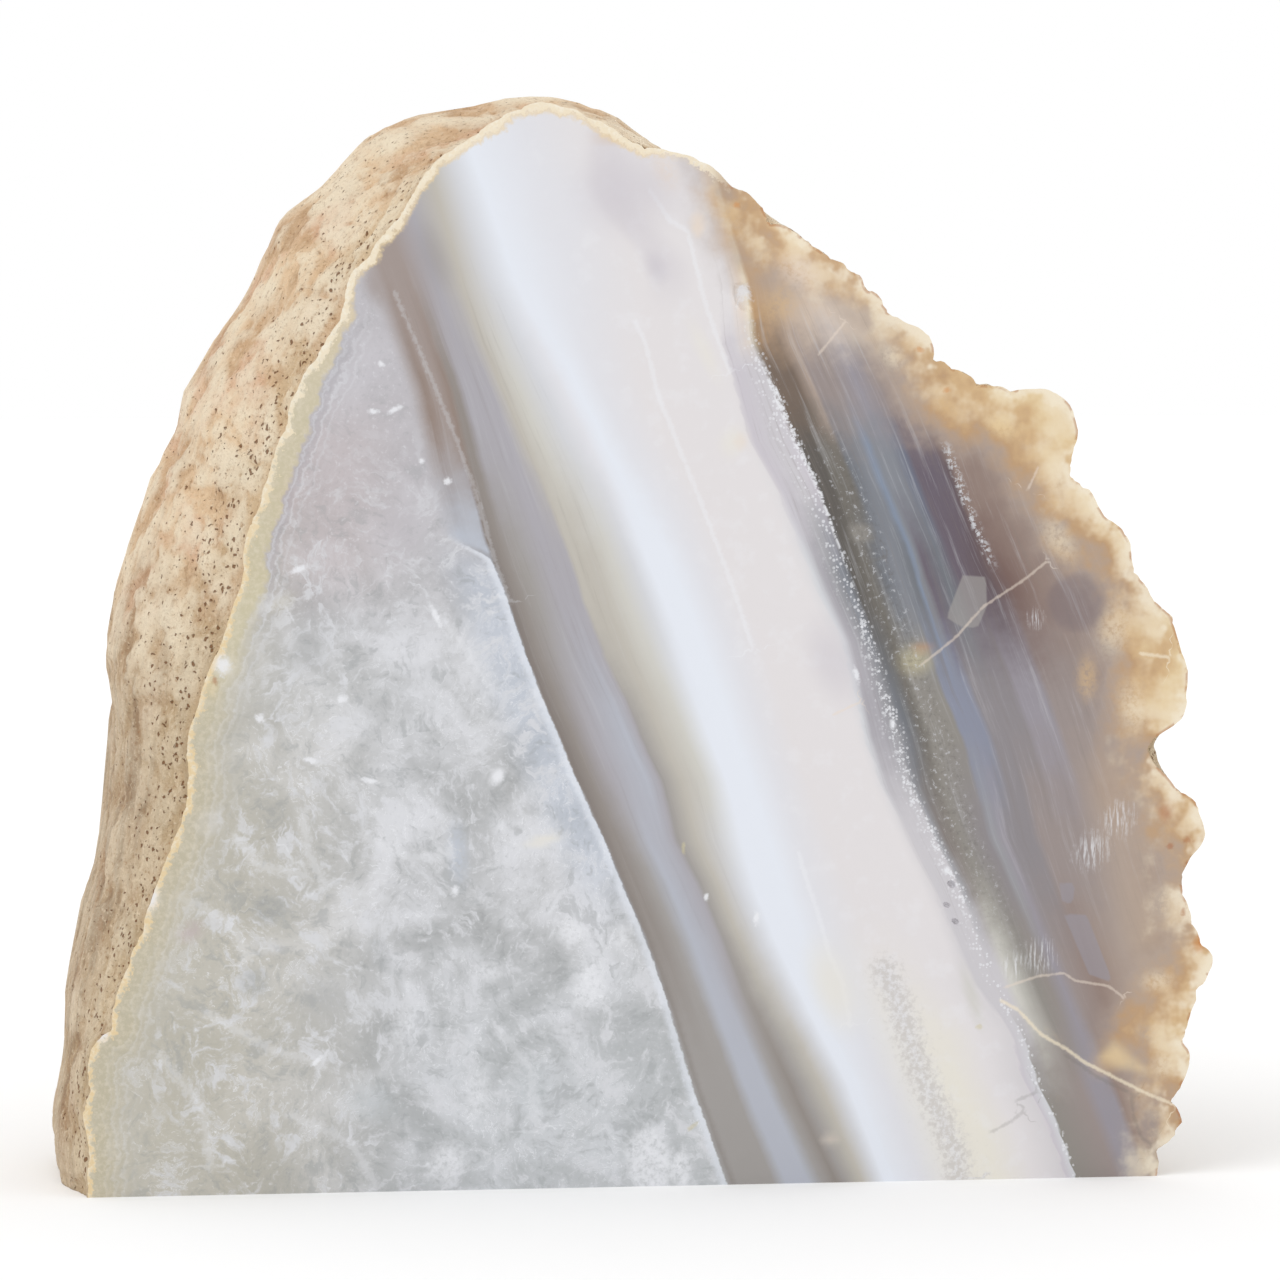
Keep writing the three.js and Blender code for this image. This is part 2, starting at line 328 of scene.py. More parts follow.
def skin_relief_tree():
    """Pushes a skin in and out by knobs, streaks, pits and grain."""
    inputs = [
        ("Geometry", "Geometry"), ("Knob Size", "Float", 4.2), ("Knob Height", "Float", 0.75),
        ("Streak Height", "Float", 0.16), ("Pit Spacing", "Float", 0.95),
        ("Pit Depth", "Float", 0.2), ("Grain Height", "Float", 0.05), ("Seed", "Float", 3.0),
        ("Material", "Material"),
    ]
    outputs = [("Geometry", "Geometry")]
    tree, ask, made = new_tree("skin_relief", "GeometryNodeTree", inputs, outputs)
    tree.is_modifier = True

    def kept(name):
        kind, wanted = "GeometryNodeInputNamedAttribute", {"Name": name}
        return Value(add(tree, kind, wanted, data_type="FLOAT_VECTOR").outputs[0])

    place = vector_calc("ADD", kept("calm"), worked("ShaderNodeCombineXYZ", {0: ask["Seed"]}))
    knobs = noise(scaled(place, calc("DIVIDE", 1.0, ask["Knob Size"])), 1.0, 4.0, 0.55, 0.3)
    ridges = 0.35 - calc("ABSOLUTE", knobs - 0.5)
    streaks = noise(vector_calc("MULTIPLY", place, STREAK_PULL), 1.0, 3.0, 0.6)
    pit_cells = cells(scaled(place, calc("DIVIDE", 1.0, ask["Pit Spacing"])), 1.0)
    widest = split(pit_cells.other("Color"))[0] * 0.42
    pits = fade(pit_cells, 0.0, widest, 1.0, 0.0)
    grain = noise(place, 0.5, 2.0, 0.6)
    height = (
        (knobs - 0.5) * (ask["Knob Height"] * 2.0) + ridges * ask["Knob Height"]
        + (streaks - 0.5) * (ask["Streak Height"] * 2.0) + pits * ask["Pit Depth"] * -1.0
        + (grain - 0.5) * (ask["Grain Height"] * 2.0)
    )
    push = scaled(Value(tree.nodes.new("GeometryNodeInputNormal").outputs[0]), height * MM)
    offset = vector_calc("MULTIPLY", push, kept("hold"))
    moved = worked("GeometryNodeSetPosition", {"Geometry": ask["Geometry"], "Offset": offset})
    real = worked("GeometryNodeRealizeInstances", {0: moved})
    dressed = {"Geometry": real, "Material": ask["Material"]}
    worked("GeometryNodeSetMaterial", dressed).into(made.inputs[0])
    return tree


# %% Roughen the skin
FREE_DEPTH = 1.0  # behind the rim a point may move to and fro only from here on, mm
FREE_HEIGHT = 1.2  # and up and down only from this height above the base, mm
BREAK_DEPTH, BREAK_RELIEF = 1.5, 1.25  # this close behind the broken rim, relief counts this much more
RELIEF = {"Knob Size": 4.2, "Knob Height": 0.9, "Seed": 3.0}

skin_finish = bpy.data.materials.new("natural_skin")


def note(mesh, name, values, kind="FLOAT"):
    """Writes one number, vector or colour per point of a mesh into an attribute."""
    field = {"FLOAT": "value", "FLOAT_VECTOR": "vector", "FLOAT_COLOR": "color"}[kind]
    attribute = mesh.attributes.new(name, kind, "POINT")
    attribute.data.foreach_set(field, np.asarray(values, np.float32).ravel())


def points_of(mesh):
    flat = np.empty(3 * len(mesh.vertices), np.float32)
    mesh.vertices.foreach_get("co", flat)
    return flat.reshape(-1, 3).astype(float)


calm_rows = on_rulers(points_of(skin.data))
hold_rows = np.column_stack([
    np.ones(len(calm_rows)),
    np.clip(calm_rows[:, 1] / FREE_DEPTH, 0, 1),
    np.clip(calm_rows[:, 2] / FREE_HEIGHT, 0, 1),
])
at_break = (calm_rows[:, 0] > BREAK_FROM) & (calm_rows[:, 1] < BREAK_DEPTH)
hold_rows[at_break] *= (BREAK_RELIEF, 1.0, BREAK_RELIEF)
note(skin.data, "calm", calm_rows, "FLOAT_VECTOR")
note(skin.data, "hold", hold_rows, "FLOAT_VECTOR")

relief = skin.modifiers.new("relief", "NODES")
relief.node_group = skin_relief_tree()
sockets = relief.node_group.interface.items_tree
identifiers = {s.name: s.identifier for s in sockets if s.in_out == "INPUT"}
for name, value in {**RELIEF, "Material": skin_finish}.items():
    relief[identifiers[name]] = value
rough_mesh = finished_mesh(skin)
skin.modifiers.clear()
outward = np.array([n.vector[:] for n in skin.data.vertex_normals])
lift = ((on_rulers(points_of(rough_mesh)) - calm_rows) * outward).sum(1)
print("relief lifts the skin by", np.round([lift.min(), lift.max()], 2), "mm")

# %% [markdown]
# ## The two sawn faces
#
# The saw left two flat faces. Each is filled afresh inside the ragged edge that the relief has made, with
# points on a fine even grid: the colours of the bands hang on measures that are kept at these points.
# A constrained triangulation keeps every point of the edge, so the stone closes without a gap. Near
# the small open vug and the pits of the seam the grid is much finer, because there the face has depth.

# %% Walk round the open edge of the skin
IN_PLANE = 1e-3  # points this close to a sawn plane lie in it, mm


def faces_at_edges(mesh):
    """How many faces meet at each edge."""
    counts = np.zeros(len(mesh.edges), int)
    loop_edges = np.empty(len(mesh.loops), np.int32)
    mesh.loops.foreach_get("edge_index", loop_edges)
    np.add.at(counts, loop_edges, 1)
    return counts


def edge_walk(mesh, in_plane):
    """The open edge that lies in one sawn plane, as point numbers from its left end to its right."""
    next_to = {}
    for number in np.flatnonzero(faces_at_edges(mesh) == 1):
        a, b = mesh.edges[int(number)].vertices
        if in_plane[a] and in_plane[b]:
            next_to.setdefault(a, []).append(b)
            next_to.setdefault(b, []).append(a)
    ends = [v for v, others in next_to.items() if len(others) == 1]
    walk = [min(ends, key=lambda v: mesh.vertices[v].co.x)]
    seen = set(walk)
    while True:
        onward = [v for v in next_to[walk[-1]] if v not in seen]
        if not onward:
            return walk
        walk.append(onward[0])
        seen.add(onward[0])


skin_rows = on_rulers(points_of(rough_mesh))
rim = edge_walk(rough_mesh, skin_rows[:, 1] < IN_PLANE)
foot = edge_walk(rough_mesh, skin_rows[:, 2] < IN_PLANE)
print("points round the rim:", len(rim), "and round the foot:", len(foot))

# %% Fill a flat outline with an even net
FACE_GRID = 0.66  # mm
BASE_GRID = 1.7
FRONT_EDGE_STEP = 0.7  # along the straight edge between the polish and the base

# Places where the polished face is open: across, up, half width, half height and depth, mm
VUG = (12.4, 89.4, 1.0, 1.5, 0.6)
SEAM_PITS = [
    (33.7, 30.2, 0.42, 0.4, 0.45), (33.2, 28.1, 0.35, 0.3, 0.3), (34.1, 26.4, 0.36, 0.34, 0.35),
]
OPEN_PLACES = [VUG, *SEAM_PITS]


def inside(places, outline):
    """True for each place, as across and up, that lies within a closed outline."""
    hits = np.zeros(len(places), bool)
    for (x0, z0), (x1, z1) in zip(outline, np.roll(outline, -1, axis=0)):
        crosses = (z0 > places[:, 1]) != (z1 > places[:, 1])
        with np.errstate(divide="ignore", invalid="ignore"):
            at = x0 + (places[:, 1] - z0) * (x1 - x0) / (z1 - z0)
        hits ^= crosses & (places[:, 0] < at)
    return hits


def gap_to_line(places, line):
    """Distance of each place from a line of points, and whether it lies to the left of its run."""
    gaps, sides = [], []
    start, run = line[:-1], np.diff(line, axis=0)
    for part in np.array_split(places, max(len(places) // 3000, 1)):
        off = part[:, None, :] - start[None]
        share = np.clip((off * run).sum(2) / (run * run).sum(1), 0, 1)
        gap = np.linalg.norm(off - run * share[..., None], axis=2)
        nearest = gap.argmin(1)
        picked = off[np.arange(len(part)), nearest]
        turn = run[nearest, 0] * picked[:, 1] - run[nearest, 1] * picked[:, 0]
        gaps.append(gap.min(1))
        sides.append(turn > 0)
    return np.concatenate(gaps), np.concatenate(sides)


def staggered_grid(outline, step):
    """An even net of places inside an outline, every other row half a step along."""
    (x0, z0), (x1, z1) = outline.min(0), outline.max(0)
    places = []
    for row, z in enumerate(np.arange(z0 + step / 2, z1, step * 0.87)):
        first = x0 + step / 4 * (1 + 2 * (row % 2))
        places += [(x, z) for x in np.arange(first, x1, step)]
    places = np.array(places)
    places = places[inside(places, outline)]
    gap, _ = gap_to_line(places, np.vstack([outline, outline[:1]]))
    return places[gap > 0.4 * step]


def dent_depth(places):
    """How deep the polished face is open at each place, mm, with crystal points in the vug."""
    deep = np.zeros(len(places))
    for across, up, half_width, half_height, depth in OPEN_PLACES:
        x = (places[:, 0] - across) / half_width
        z = (places[:, 1] - up) / half_height
        lean = x + 0.35 * z
        away = np.hypot(lean, z)
        bowl = np.clip(1 - away**3, 0, 1)
        points = 0.35 * np.sin(7 * x + 3 * z) * np.sin(6 * z - 2 * x) if depth > 0.6 else 0.0
        deep += depth * bowl * (1 - points)
    return deep


def dense_spots():
    """Fine grids round the open places."""
    spots = []
    steps = np.linspace(-1.35, 1.35, 15)
    for across, up, half_width, half_height, _ in OPEN_PLACES:
        spots += [(across + half_width * a, up + half_height * b) for a in steps for b in steps]
    return np.array(spots)


def filled(outline, places):
    """Triangles over the outline and the places inside it. Numbers count the outline first."""
    count = len(outline)
    corners = [Vector(p) for p in np.vstack([outline, places])]
    result = delaunay_2d_cdt(corners, [], [list(range(count))], 1, 1e-7)
    first = [origin[0] for origin in result[3]]
    return [[first[v] for v in triangle] for triangle in result[2]]


rim_places = skin_rows[rim][:, [0, 2]]
foot_places = skin_rows[foot][:, [0, 1]]
width = rim_places[-1, 0] - rim_places[0, 0]
steps = int(width / FRONT_EDGE_STEP)
front_edge = [rim_places[-1, 0] - width * k / steps for k in range(1, steps)]

grid = staggered_grid(np.vstack([rim_places, [(x, 0) for x in front_edge]]), FACE_GRID)
for across, up, half_width, half_height, _ in OPEN_PLACES:
    beside, above = abs(grid - (across, up)).T
    grid = grid[(beside > 1.6 * half_width) | (above > 1.6 * half_height)]
grid = np.vstack([grid, dense_spots()])
base_grid = staggered_grid(np.vstack([foot_places, [(x, 0) for x in front_edge]]), BASE_GRID)
print("points inside the polished face:", len(grid), "and inside the base:", len(base_grid))

# %% Put the stone together
POLISH, SKIN, BASE = 0, 1, 2  # the order of the stone's finishes

edge_rows = np.array([(x, 0.0, 0.0) for x in front_edge])
face_rows = np.column_stack([grid[:, 0], dent_depth(grid), grid[:, 1]])
base_rows = np.column_stack([base_grid, np.zeros(len(base_grid))])
all_rows = np.vstack([skin_rows, edge_rows, face_rows, base_rows])

edge_start = len(skin_rows)
face_start = edge_start + len(edge_rows)
base_start = face_start + len(face_rows)
edge_numbers = list(range(edge_start, face_start))
face_numbers = rim + edge_numbers + list(range(face_start, base_start))
base_numbers = foot + edge_numbers + list(range(base_start, len(all_rows)))


def facing(triangles, numbers, axis, sign):
    """The triangles by the stone's point numbers, all turned so that they face along an axis."""
    turned = []
    for triangle in triangles:
        a, b, c = (all_rows[numbers[v]] for v in triangle)
        outward = np.cross(b - a, c - a)[axis] * sign > 0
        turned.append([numbers[v] for v in (triangle if outward else triangle[::-1])])
    return turned


face_outline = np.vstack([rim_places, edge_rows[:, [0, 2]]])
foot_outline = np.vstack([foot_places, edge_rows[:, [0, 1]]])
face_triangles = facing(filled(face_outline, grid), face_numbers, 1, -1)
base_triangles = facing(filled(foot_outline, base_grid), base_numbers, 2, -1)
skin_faces = [list(p.vertices) for p in rough_mesh.polygons]

stone_mesh = bpy.data.meshes.new("agate_stone")
stone_faces = skin_faces + face_triangles + base_triangles
stone_mesh.from_pydata(off_rulers(all_rows).tolist(), [], stone_faces)
finish = [SKIN] * len(skin_faces) + [POLISH] * len(face_triangles) + [BASE] * len(base_triangles)
stone_mesh.polygons.foreach_set("material_index", finish)
stone_mesh.polygons.foreach_set("use_smooth", [f == SKIN for f in finish])
stone_mesh.update()
agate_stone = as_object("agate_stone", stone_mesh)
print("the stone has", triangles_in(stone_mesh), "triangles, under 200000")

# %% Check that it is closed
print("edges not shared by two faces:", int((faces_at_edges(stone_mesh) != 2).sum()))
bpy.data.objects.remove(skin)

# %% [markdown]
# ## Measures that the colours hang on
#
# The bands of the agate run down the face side by side, a little fanned out. Each line below is one
# place where a band changes, as across and up. Between two lines the band measure grows evenly from one
# whole number to the next, so a colour scale over the measure bends and fans with the bands. Three more
# measures are plain distances in millimetres: from the crust on the left and the top, from the thin
# broken edge on the right, and from the line where gold-brown begins.

# %% Lines of the bands, read off the stone
QUARTZ_EDGE = [  # cloudy quartz ends and the bands begin
    (-28, 108), (-24.5, 100), (-20.5, 90), (-17, 80), (-15.5, 73), (-13.5, 65.5), (-12.7, 63),
    (-11.5, 60), (-9.5, 54), (-8, 50), (-6.3, 46), (-4.5, 41.5), (-1.5, 35), (0.2, 30.7),
    (2.6, 25), (4.8, 18.7), (7.5, 9.6), (9.1, 5.2), (10.9, 0),
]
BEIGE_EDGE = [  # a thin step from lilac grey to beige
    (-20.5, 108), (-17.5, 97), (-15.5, 90), (-13.8, 85), (-10.5, 77), (-8, 71), (-5, 63),
    (-3.8, 59), (-1.5, 53), (0.5, 49), (2.5, 44), (4, 41), (5.5, 35), (7.8, 30.7), (10.2, 25),
    (12.4, 19.2), (15, 13.4), (17.6, 7.6), (21.3, 0),
]
WHITE_EDGE = [  # the brightest blue white begins
    (-16.5, 108), (-13.5, 100), (-10.5, 91), (-8, 86), (-5, 80), (0, 70), (4, 60), (8, 50),
    (11.5, 41), (13.2, 35), (14.6, 30), (16.6, 25), (19, 20), (21.6, 15), (24.3, 10), (28, 0),
]
SEAM_LEFT = [  # the seam of clear grey with its white crystal flecks
    (4, 108), (7.5, 100), (10, 91), (10.3, 85), (11.8, 80), (13.1, 75), (16, 70), (18, 65),
    (20, 60), (22.5, 55), (23.8, 50), (24.9, 45), (26.7, 40), (29.3, 35), (31.8, 30),
    (33.8, 25), (35.9, 20), (38, 17.5), (39.9, 15), (41.2, 10), (44, 5), (45.8, 0),
]
SEAM_RIGHT = [
    (8, 108), (10, 100), (12.7, 91), (13.5, 85), (15.8, 80), (17.9, 75), (20.2, 70), (21.9, 65),
    (23.8, 60), (25.6, 55), (27, 50), (28.6, 45), (29.7, 40), (32.1, 35), (34.6, 30),
    (36.4, 25), (38.3, 20), (39.5, 17.5), (41, 15), (42.6, 10), (44.8, 5), (46.6, 0),
]
BLUE_LINE = [  # a light blue streak in the dark part
    (10, 108), (18.2, 90), (22.7, 80), (24.9, 75), (26.9, 70), (29, 65), (30.6, 60), (32.3, 55),
    (34, 50), (36.3, 45), (37.7, 40), (38.8, 35), (41, 30), (43, 25), (47, 15), (53, 0),
]
FLECK_LINE = [  # a second row of white flecks
    (16, 108), (25, 90), (30.6, 80), (33, 74.5), (35, 69), (37.5, 63), (39, 60), (43, 50),
    (46.5, 40), (49.3, 30), (52.5, 20), (56.5, 10), (60, 0),
]
BAND_LINES = [QUARTZ_EDGE, BEIGE_EDGE, WHITE_EDGE, SEAM_LEFT, SEAM_RIGHT, BLUE_LINE, FLECK_LINE]

GOLD_EDGE = [  # right of this line the stone is gold brown
    (8, 104), (9.5, 97), (12, 92.5), (16, 90.5), (22, 88.5), (25.5, 86.5), (27, 83), (28, 80),
    (30, 77), (34, 74.5), (38, 72.5), (41, 69), (43.5, 65), (46, 62), (49, 59), (49.3, 55),
    (49.5, 50), (50, 45), (51.5, 40), (54, 35), (55.5, 30), (56, 25), (54, 21), (51, 17),
    (50, 14), (52, 11), (53.5, 8), (54, 4), (54.5, 0),
]
OUTER_BAND = 10.0  # beyond the first and last line the measure changes by one over this many mm
BACKWARD_LEAN = 0.15  # how far the bands shift across for each mm of depth, where the base shows them


def band_measure(rows):
    """The band measure at each point, from its across, deep and up."""
    across = rows[:, 0] - BACKWARD_LEAN * rows[:, 1]
    lines = []
    for line in BAND_LINES:
        x, z = np.array(sorted(line, key=lambda p: p[1]), float).T
        lines.append(np.interp(rows[:, 2], z, x))
    lines = np.array([lines[0] - OUTER_BAND, *lines, lines[-1] + OUTER_BAND])
    measure = np.zeros(len(rows))
    for number in range(len(lines) - 1):
        share = (across - lines[number]) / (lines[number + 1] - lines[number])
        measure += np.clip(share, 0 if number else None, 1 if number < len(lines) - 2 else None)
    return measure


# %% Write the measures on the stone
TOP_RIGHT_OF_CRUST = 11.0  # the crust runs from the base on the left to here at the top
BASE_RIGHT, FAR_OFF = 57.0, 30.0  # the base's right end, and a distance at which no rim shows, mm

measured = np.r_[np.array(rim), np.array(foot), np.arange(edge_start, len(all_rows))]
rows = all_rows[measured]
crust_end = int(np.argmax(rim_places[:, 0] > TOP_RIGHT_OF_CRUST))
crust_line = rim_places[: crust_end + 1]
broken_line = rim_places[crust_end:]
on_base = (rows[:, 2] < IN_PLANE) & (rows[:, 1] > IN_PLANE)

from_crust = gap_to_line(rows[:, [0, 2]], crust_line)[0]
from_break = gap_to_line(rows[:, [0, 2]], broken_line)[0]
from_crust[on_base] = gap_to_line(rows[on_base][:, :2], foot_places)[0]
from_break[on_base] = np.minimum(FAR_OFF, BASE_RIGHT - rows[on_base][:, 0])
gold_gap, left_of_gold = gap_to_line(rows[:, [0, 2]], np.array(GOLD_EDGE, float))
into_gold = np.where(left_of_gold, gold_gap, -gold_gap)
band = band_measure(rows)


def note_sawn(name, values, elsewhere=0.0):
    """Notes numbers, vectors or colours at the points of the sawn faces, and one value elsewhere."""
    values = np.asarray(values, np.float32)
    spread = np.full((len(all_rows), *values.shape[1:]), elsewhere)
    spread[measured] = values
    kind = {1: "FLOAT", 3: "FLOAT_VECTOR", 4: "FLOAT_COLOR"}[spread.size // len(spread)]
    note(stone_mesh, name, spread, kind)


note_sawn("band", band)
note_sawn("from_crust", from_crust)
note_sawn("from_break", from_break)
note_sawn("into_gold", into_gold)
note(stone_mesh, "calm", np.vstack([calm_rows, all_rows[edge_start:]]), "FLOAT_VECTOR")
note(stone_mesh, "lift", np.r_[lift, np.zeros(len(all_rows) - edge_start)])
print("the band measure runs over", np.round([band.min(), band.max()], 2))

# %% [markdown]
# ## Tones
#
# The stone has a small palette that comes again and again. Each tone has a plain name, and is given as
# it looks on a screen, in steps of 255. The polish mirrors the white room and lifts every tone by a few
# hundredths, so a pigment is made that much darker than the tone that it should give.

# %% The palette
POLISH_VEIL = 0.042  # light that the polish mirrors from a white room
ROOM_LIGHT = 1.04  # light that falls on the face


def tone(red, green, blue):
    """A screen colour as the linear colour of the pigment that shows it in this room."""
    def linear(v):
        v /= 255
        return v / 12.92 if v <= 0.04045 else ((v + 0.055) / 1.055) ** 2.4
    return (*(max((linear(v) - POLISH_VEIL) / ROOM_LIGHT, 0.003) for v in (red, green, blue)), 1.0)


TONES = {
    # quartz
    "quartz grey": (196, 197, 199), "quartz white": (219, 220, 224), "quartz blue": (192, 199, 211),
    "quartz green": (190, 195, 198), "quartz beige": (191, 186, 172), "quartz lilac": (190, 185, 190),
    "quartz pink": (192, 179, 178), "quartz shade": (178, 179, 180), "quartz deep": (156, 159, 160),
    # bands on the left of the white
    "brown taupe": (151, 135, 126), "warm taupe": (164, 152, 147), "dark taupe": (135, 127, 122),
    "taupe": (150, 143, 138), "stone grey": (164, 160, 157), "lilac grey": (174, 171, 177),
    "ice lilac": (183, 186, 196), "beige": (192, 187, 178), "olive cream": (207, 205, 198),
    "silver": (212, 213, 217), "blue white": (230, 234, 242), "white": (238, 239, 243),
    "warm white": (227, 223, 224), "cool white": (225, 225, 230), "cream white": (232, 228, 218),
    "lavender": (204, 199, 206), "peach": (232, 217, 203),
    # the seam and the dark part on the right
    "seam white": (205, 202, 206), "seam grey": (156, 156, 160), "vein grey": (203, 199, 197),
    "umber": (122, 108, 98), "smoke": (101, 97, 93), "olive smoke": (120, 116, 110),
    "slate": (119, 122, 128), "pale slate": (137, 140, 147), "sky": (136, 147, 165),
    "deep blue": (115, 119, 134), "mauve": (112, 103, 113), "plum": (106, 93, 97),
    "brown mauve": (124, 103, 98), "olive grey": (147, 143, 137), "dust blue": (142, 146, 162),
    "dust lilac": (155, 150, 157), "mauve grey": (145, 140, 143), "rose taupe": (156, 145, 142),
    "rose brown": (148, 130, 122), "clay": (176, 160, 149),
    # gold and crust
    "tan": (186, 162, 140), "gold": (215, 182, 137), "deep gold": (194, 159, 120),
    "pale gold": (233, 209, 166), "cream": (241, 228, 203), "crust": (246, 238, 220),
    "olive gold": (208, 198, 160), "olive beige": (194, 185, 160), "amber": (208, 140, 78),
    "rust": (170, 106, 66),
    # the skin, with a painted highlight for its knobs, painted shade for its hollows, and for its pits
    # their brown with painted shade in it
    "skin tan": (216, 182, 147), "skin light": (236, 206, 171), "skin pink": (229, 188, 160),
    "skin low": (181, 160, 133), "low streak": (146, 124, 102), "skin ridge": (246, 230, 204),
    "skin hollow": (170, 134, 102), "skin at rim": (208, 186, 152), "pale streak": (240, 218, 188),
    "dark streak": (168, 134, 104), "knob cream": (250, 238, 214), "deep hollow": (164, 126, 96),
    "pale grain": (246, 228, 200), "dark grain": (168, 130, 98), "pit brown": (126, 86, 58),
}

# %% [markdown]
# ## Shared marks
#
# Stains, milky spots, cracks, windows and white crystal flecks lie over the bands in great number.
# Drawing each of them in the material would make every ray pay for all of them, so what can be is worked
# out once, in Python, and kept at the points of the sawn faces. Soft stains are mixed into a thin layer of
# colour. Cracks, windows and flecks are kept as distances, which stay sharp between points. Only the
# finest crystal flecks, smaller than the net of points, are strewn by the material.
#
# All of them lie on one flat drawing: across, and up the polished face, which runs on below nought over
# the base.

# %% Colour helpers


def ramp(value, stops):
    """A colour scale over a value, from pairs of the value and a tone's name."""
    start, end = stops[0][0], stops[-1][0]
    share = worked("ShaderNodeMapRange", {0: value, 1: start, 2: end})
    node = add(value.tree, "ShaderNodeValToRGB", {0: share})
    scale = node.color_ramp.elements
    for number, (at, name) in enumerate(stops):
        last = number == len(stops) - 1
        place = (at - start) / (end - start)
        element = scale[number] if number == 0 else scale[-1] if last else scale.new(place)
        element.position = place
        element.color = tone(*TONES[name])
    return Value(node.outputs[0])


def blend(share, first, second):
    """Second over first, by a share. A colour may be a tone's name."""
    first, second = (tone(*TONES[c]) if isinstance(c, str) else c for c in (first, second))
    return worked("ShaderNodeMix", {0: share, 6: first, 7: second}, 2, data_type="RGBA")


def coated(colour, coats):
    """A colour with other tones laid over it in turn, each by its share."""
    for share, name in coats:
        colour = blend(share, colour, name)
    return colour


def between(value, start, full, still, end):
    """A mask that rises from start to full, stays, and falls from still to end."""
    return fade(value, start, full) * fade(value, still, end, 1.0, 0.0)


def flat_noise(place, size, *settings):
    """Noise over the flat drawing."""
    return noise(place, size, *settings, dimensions="2D")


def placed(group, values):
    """A node group placed in a tree, with numbers or values for its named inputs."""
    return worked("ShaderNodeGroup", values, node_tree=group)


def noted(tree, name, output="Fac"):
    """What a note on the mesh says."""
    return Value(add(tree, "ShaderNodeAttribute", attribute_name=name).outputs[output])


# %% The group of crystal flecks
def fleck_group():
    """White crystal flecks of many sizes, strewn at random."""
    inputs = [("Place", "Vector"), ("Size", "Float", 0.6), ("Cover", "Float", 0.5)]
    tree, ask, made = new_tree("crystal_flecks", "ShaderNodeTree", inputs, [("Mask", "Float")])
    grains = cells(scaled(ask["Place"], calc("DIVIDE", 1.0, ask["Size"])), 1.0, "2D")
    chance = split(grains.other("Color"))[0]
    reach = (chance - (1.0 - ask["Cover"])) * 0.95
    fade(grains, reach - 0.14, reach, 1.0, 0.0).into(made.inputs[0])
    return tree


FLECKS = fleck_group()

# %% [markdown]
# ### Stains and milky spots
#
# Each line gives the middle, the half width and half height, the lean of the top to the right in degrees,
# how soft the edge is, the tone and how strong it is.

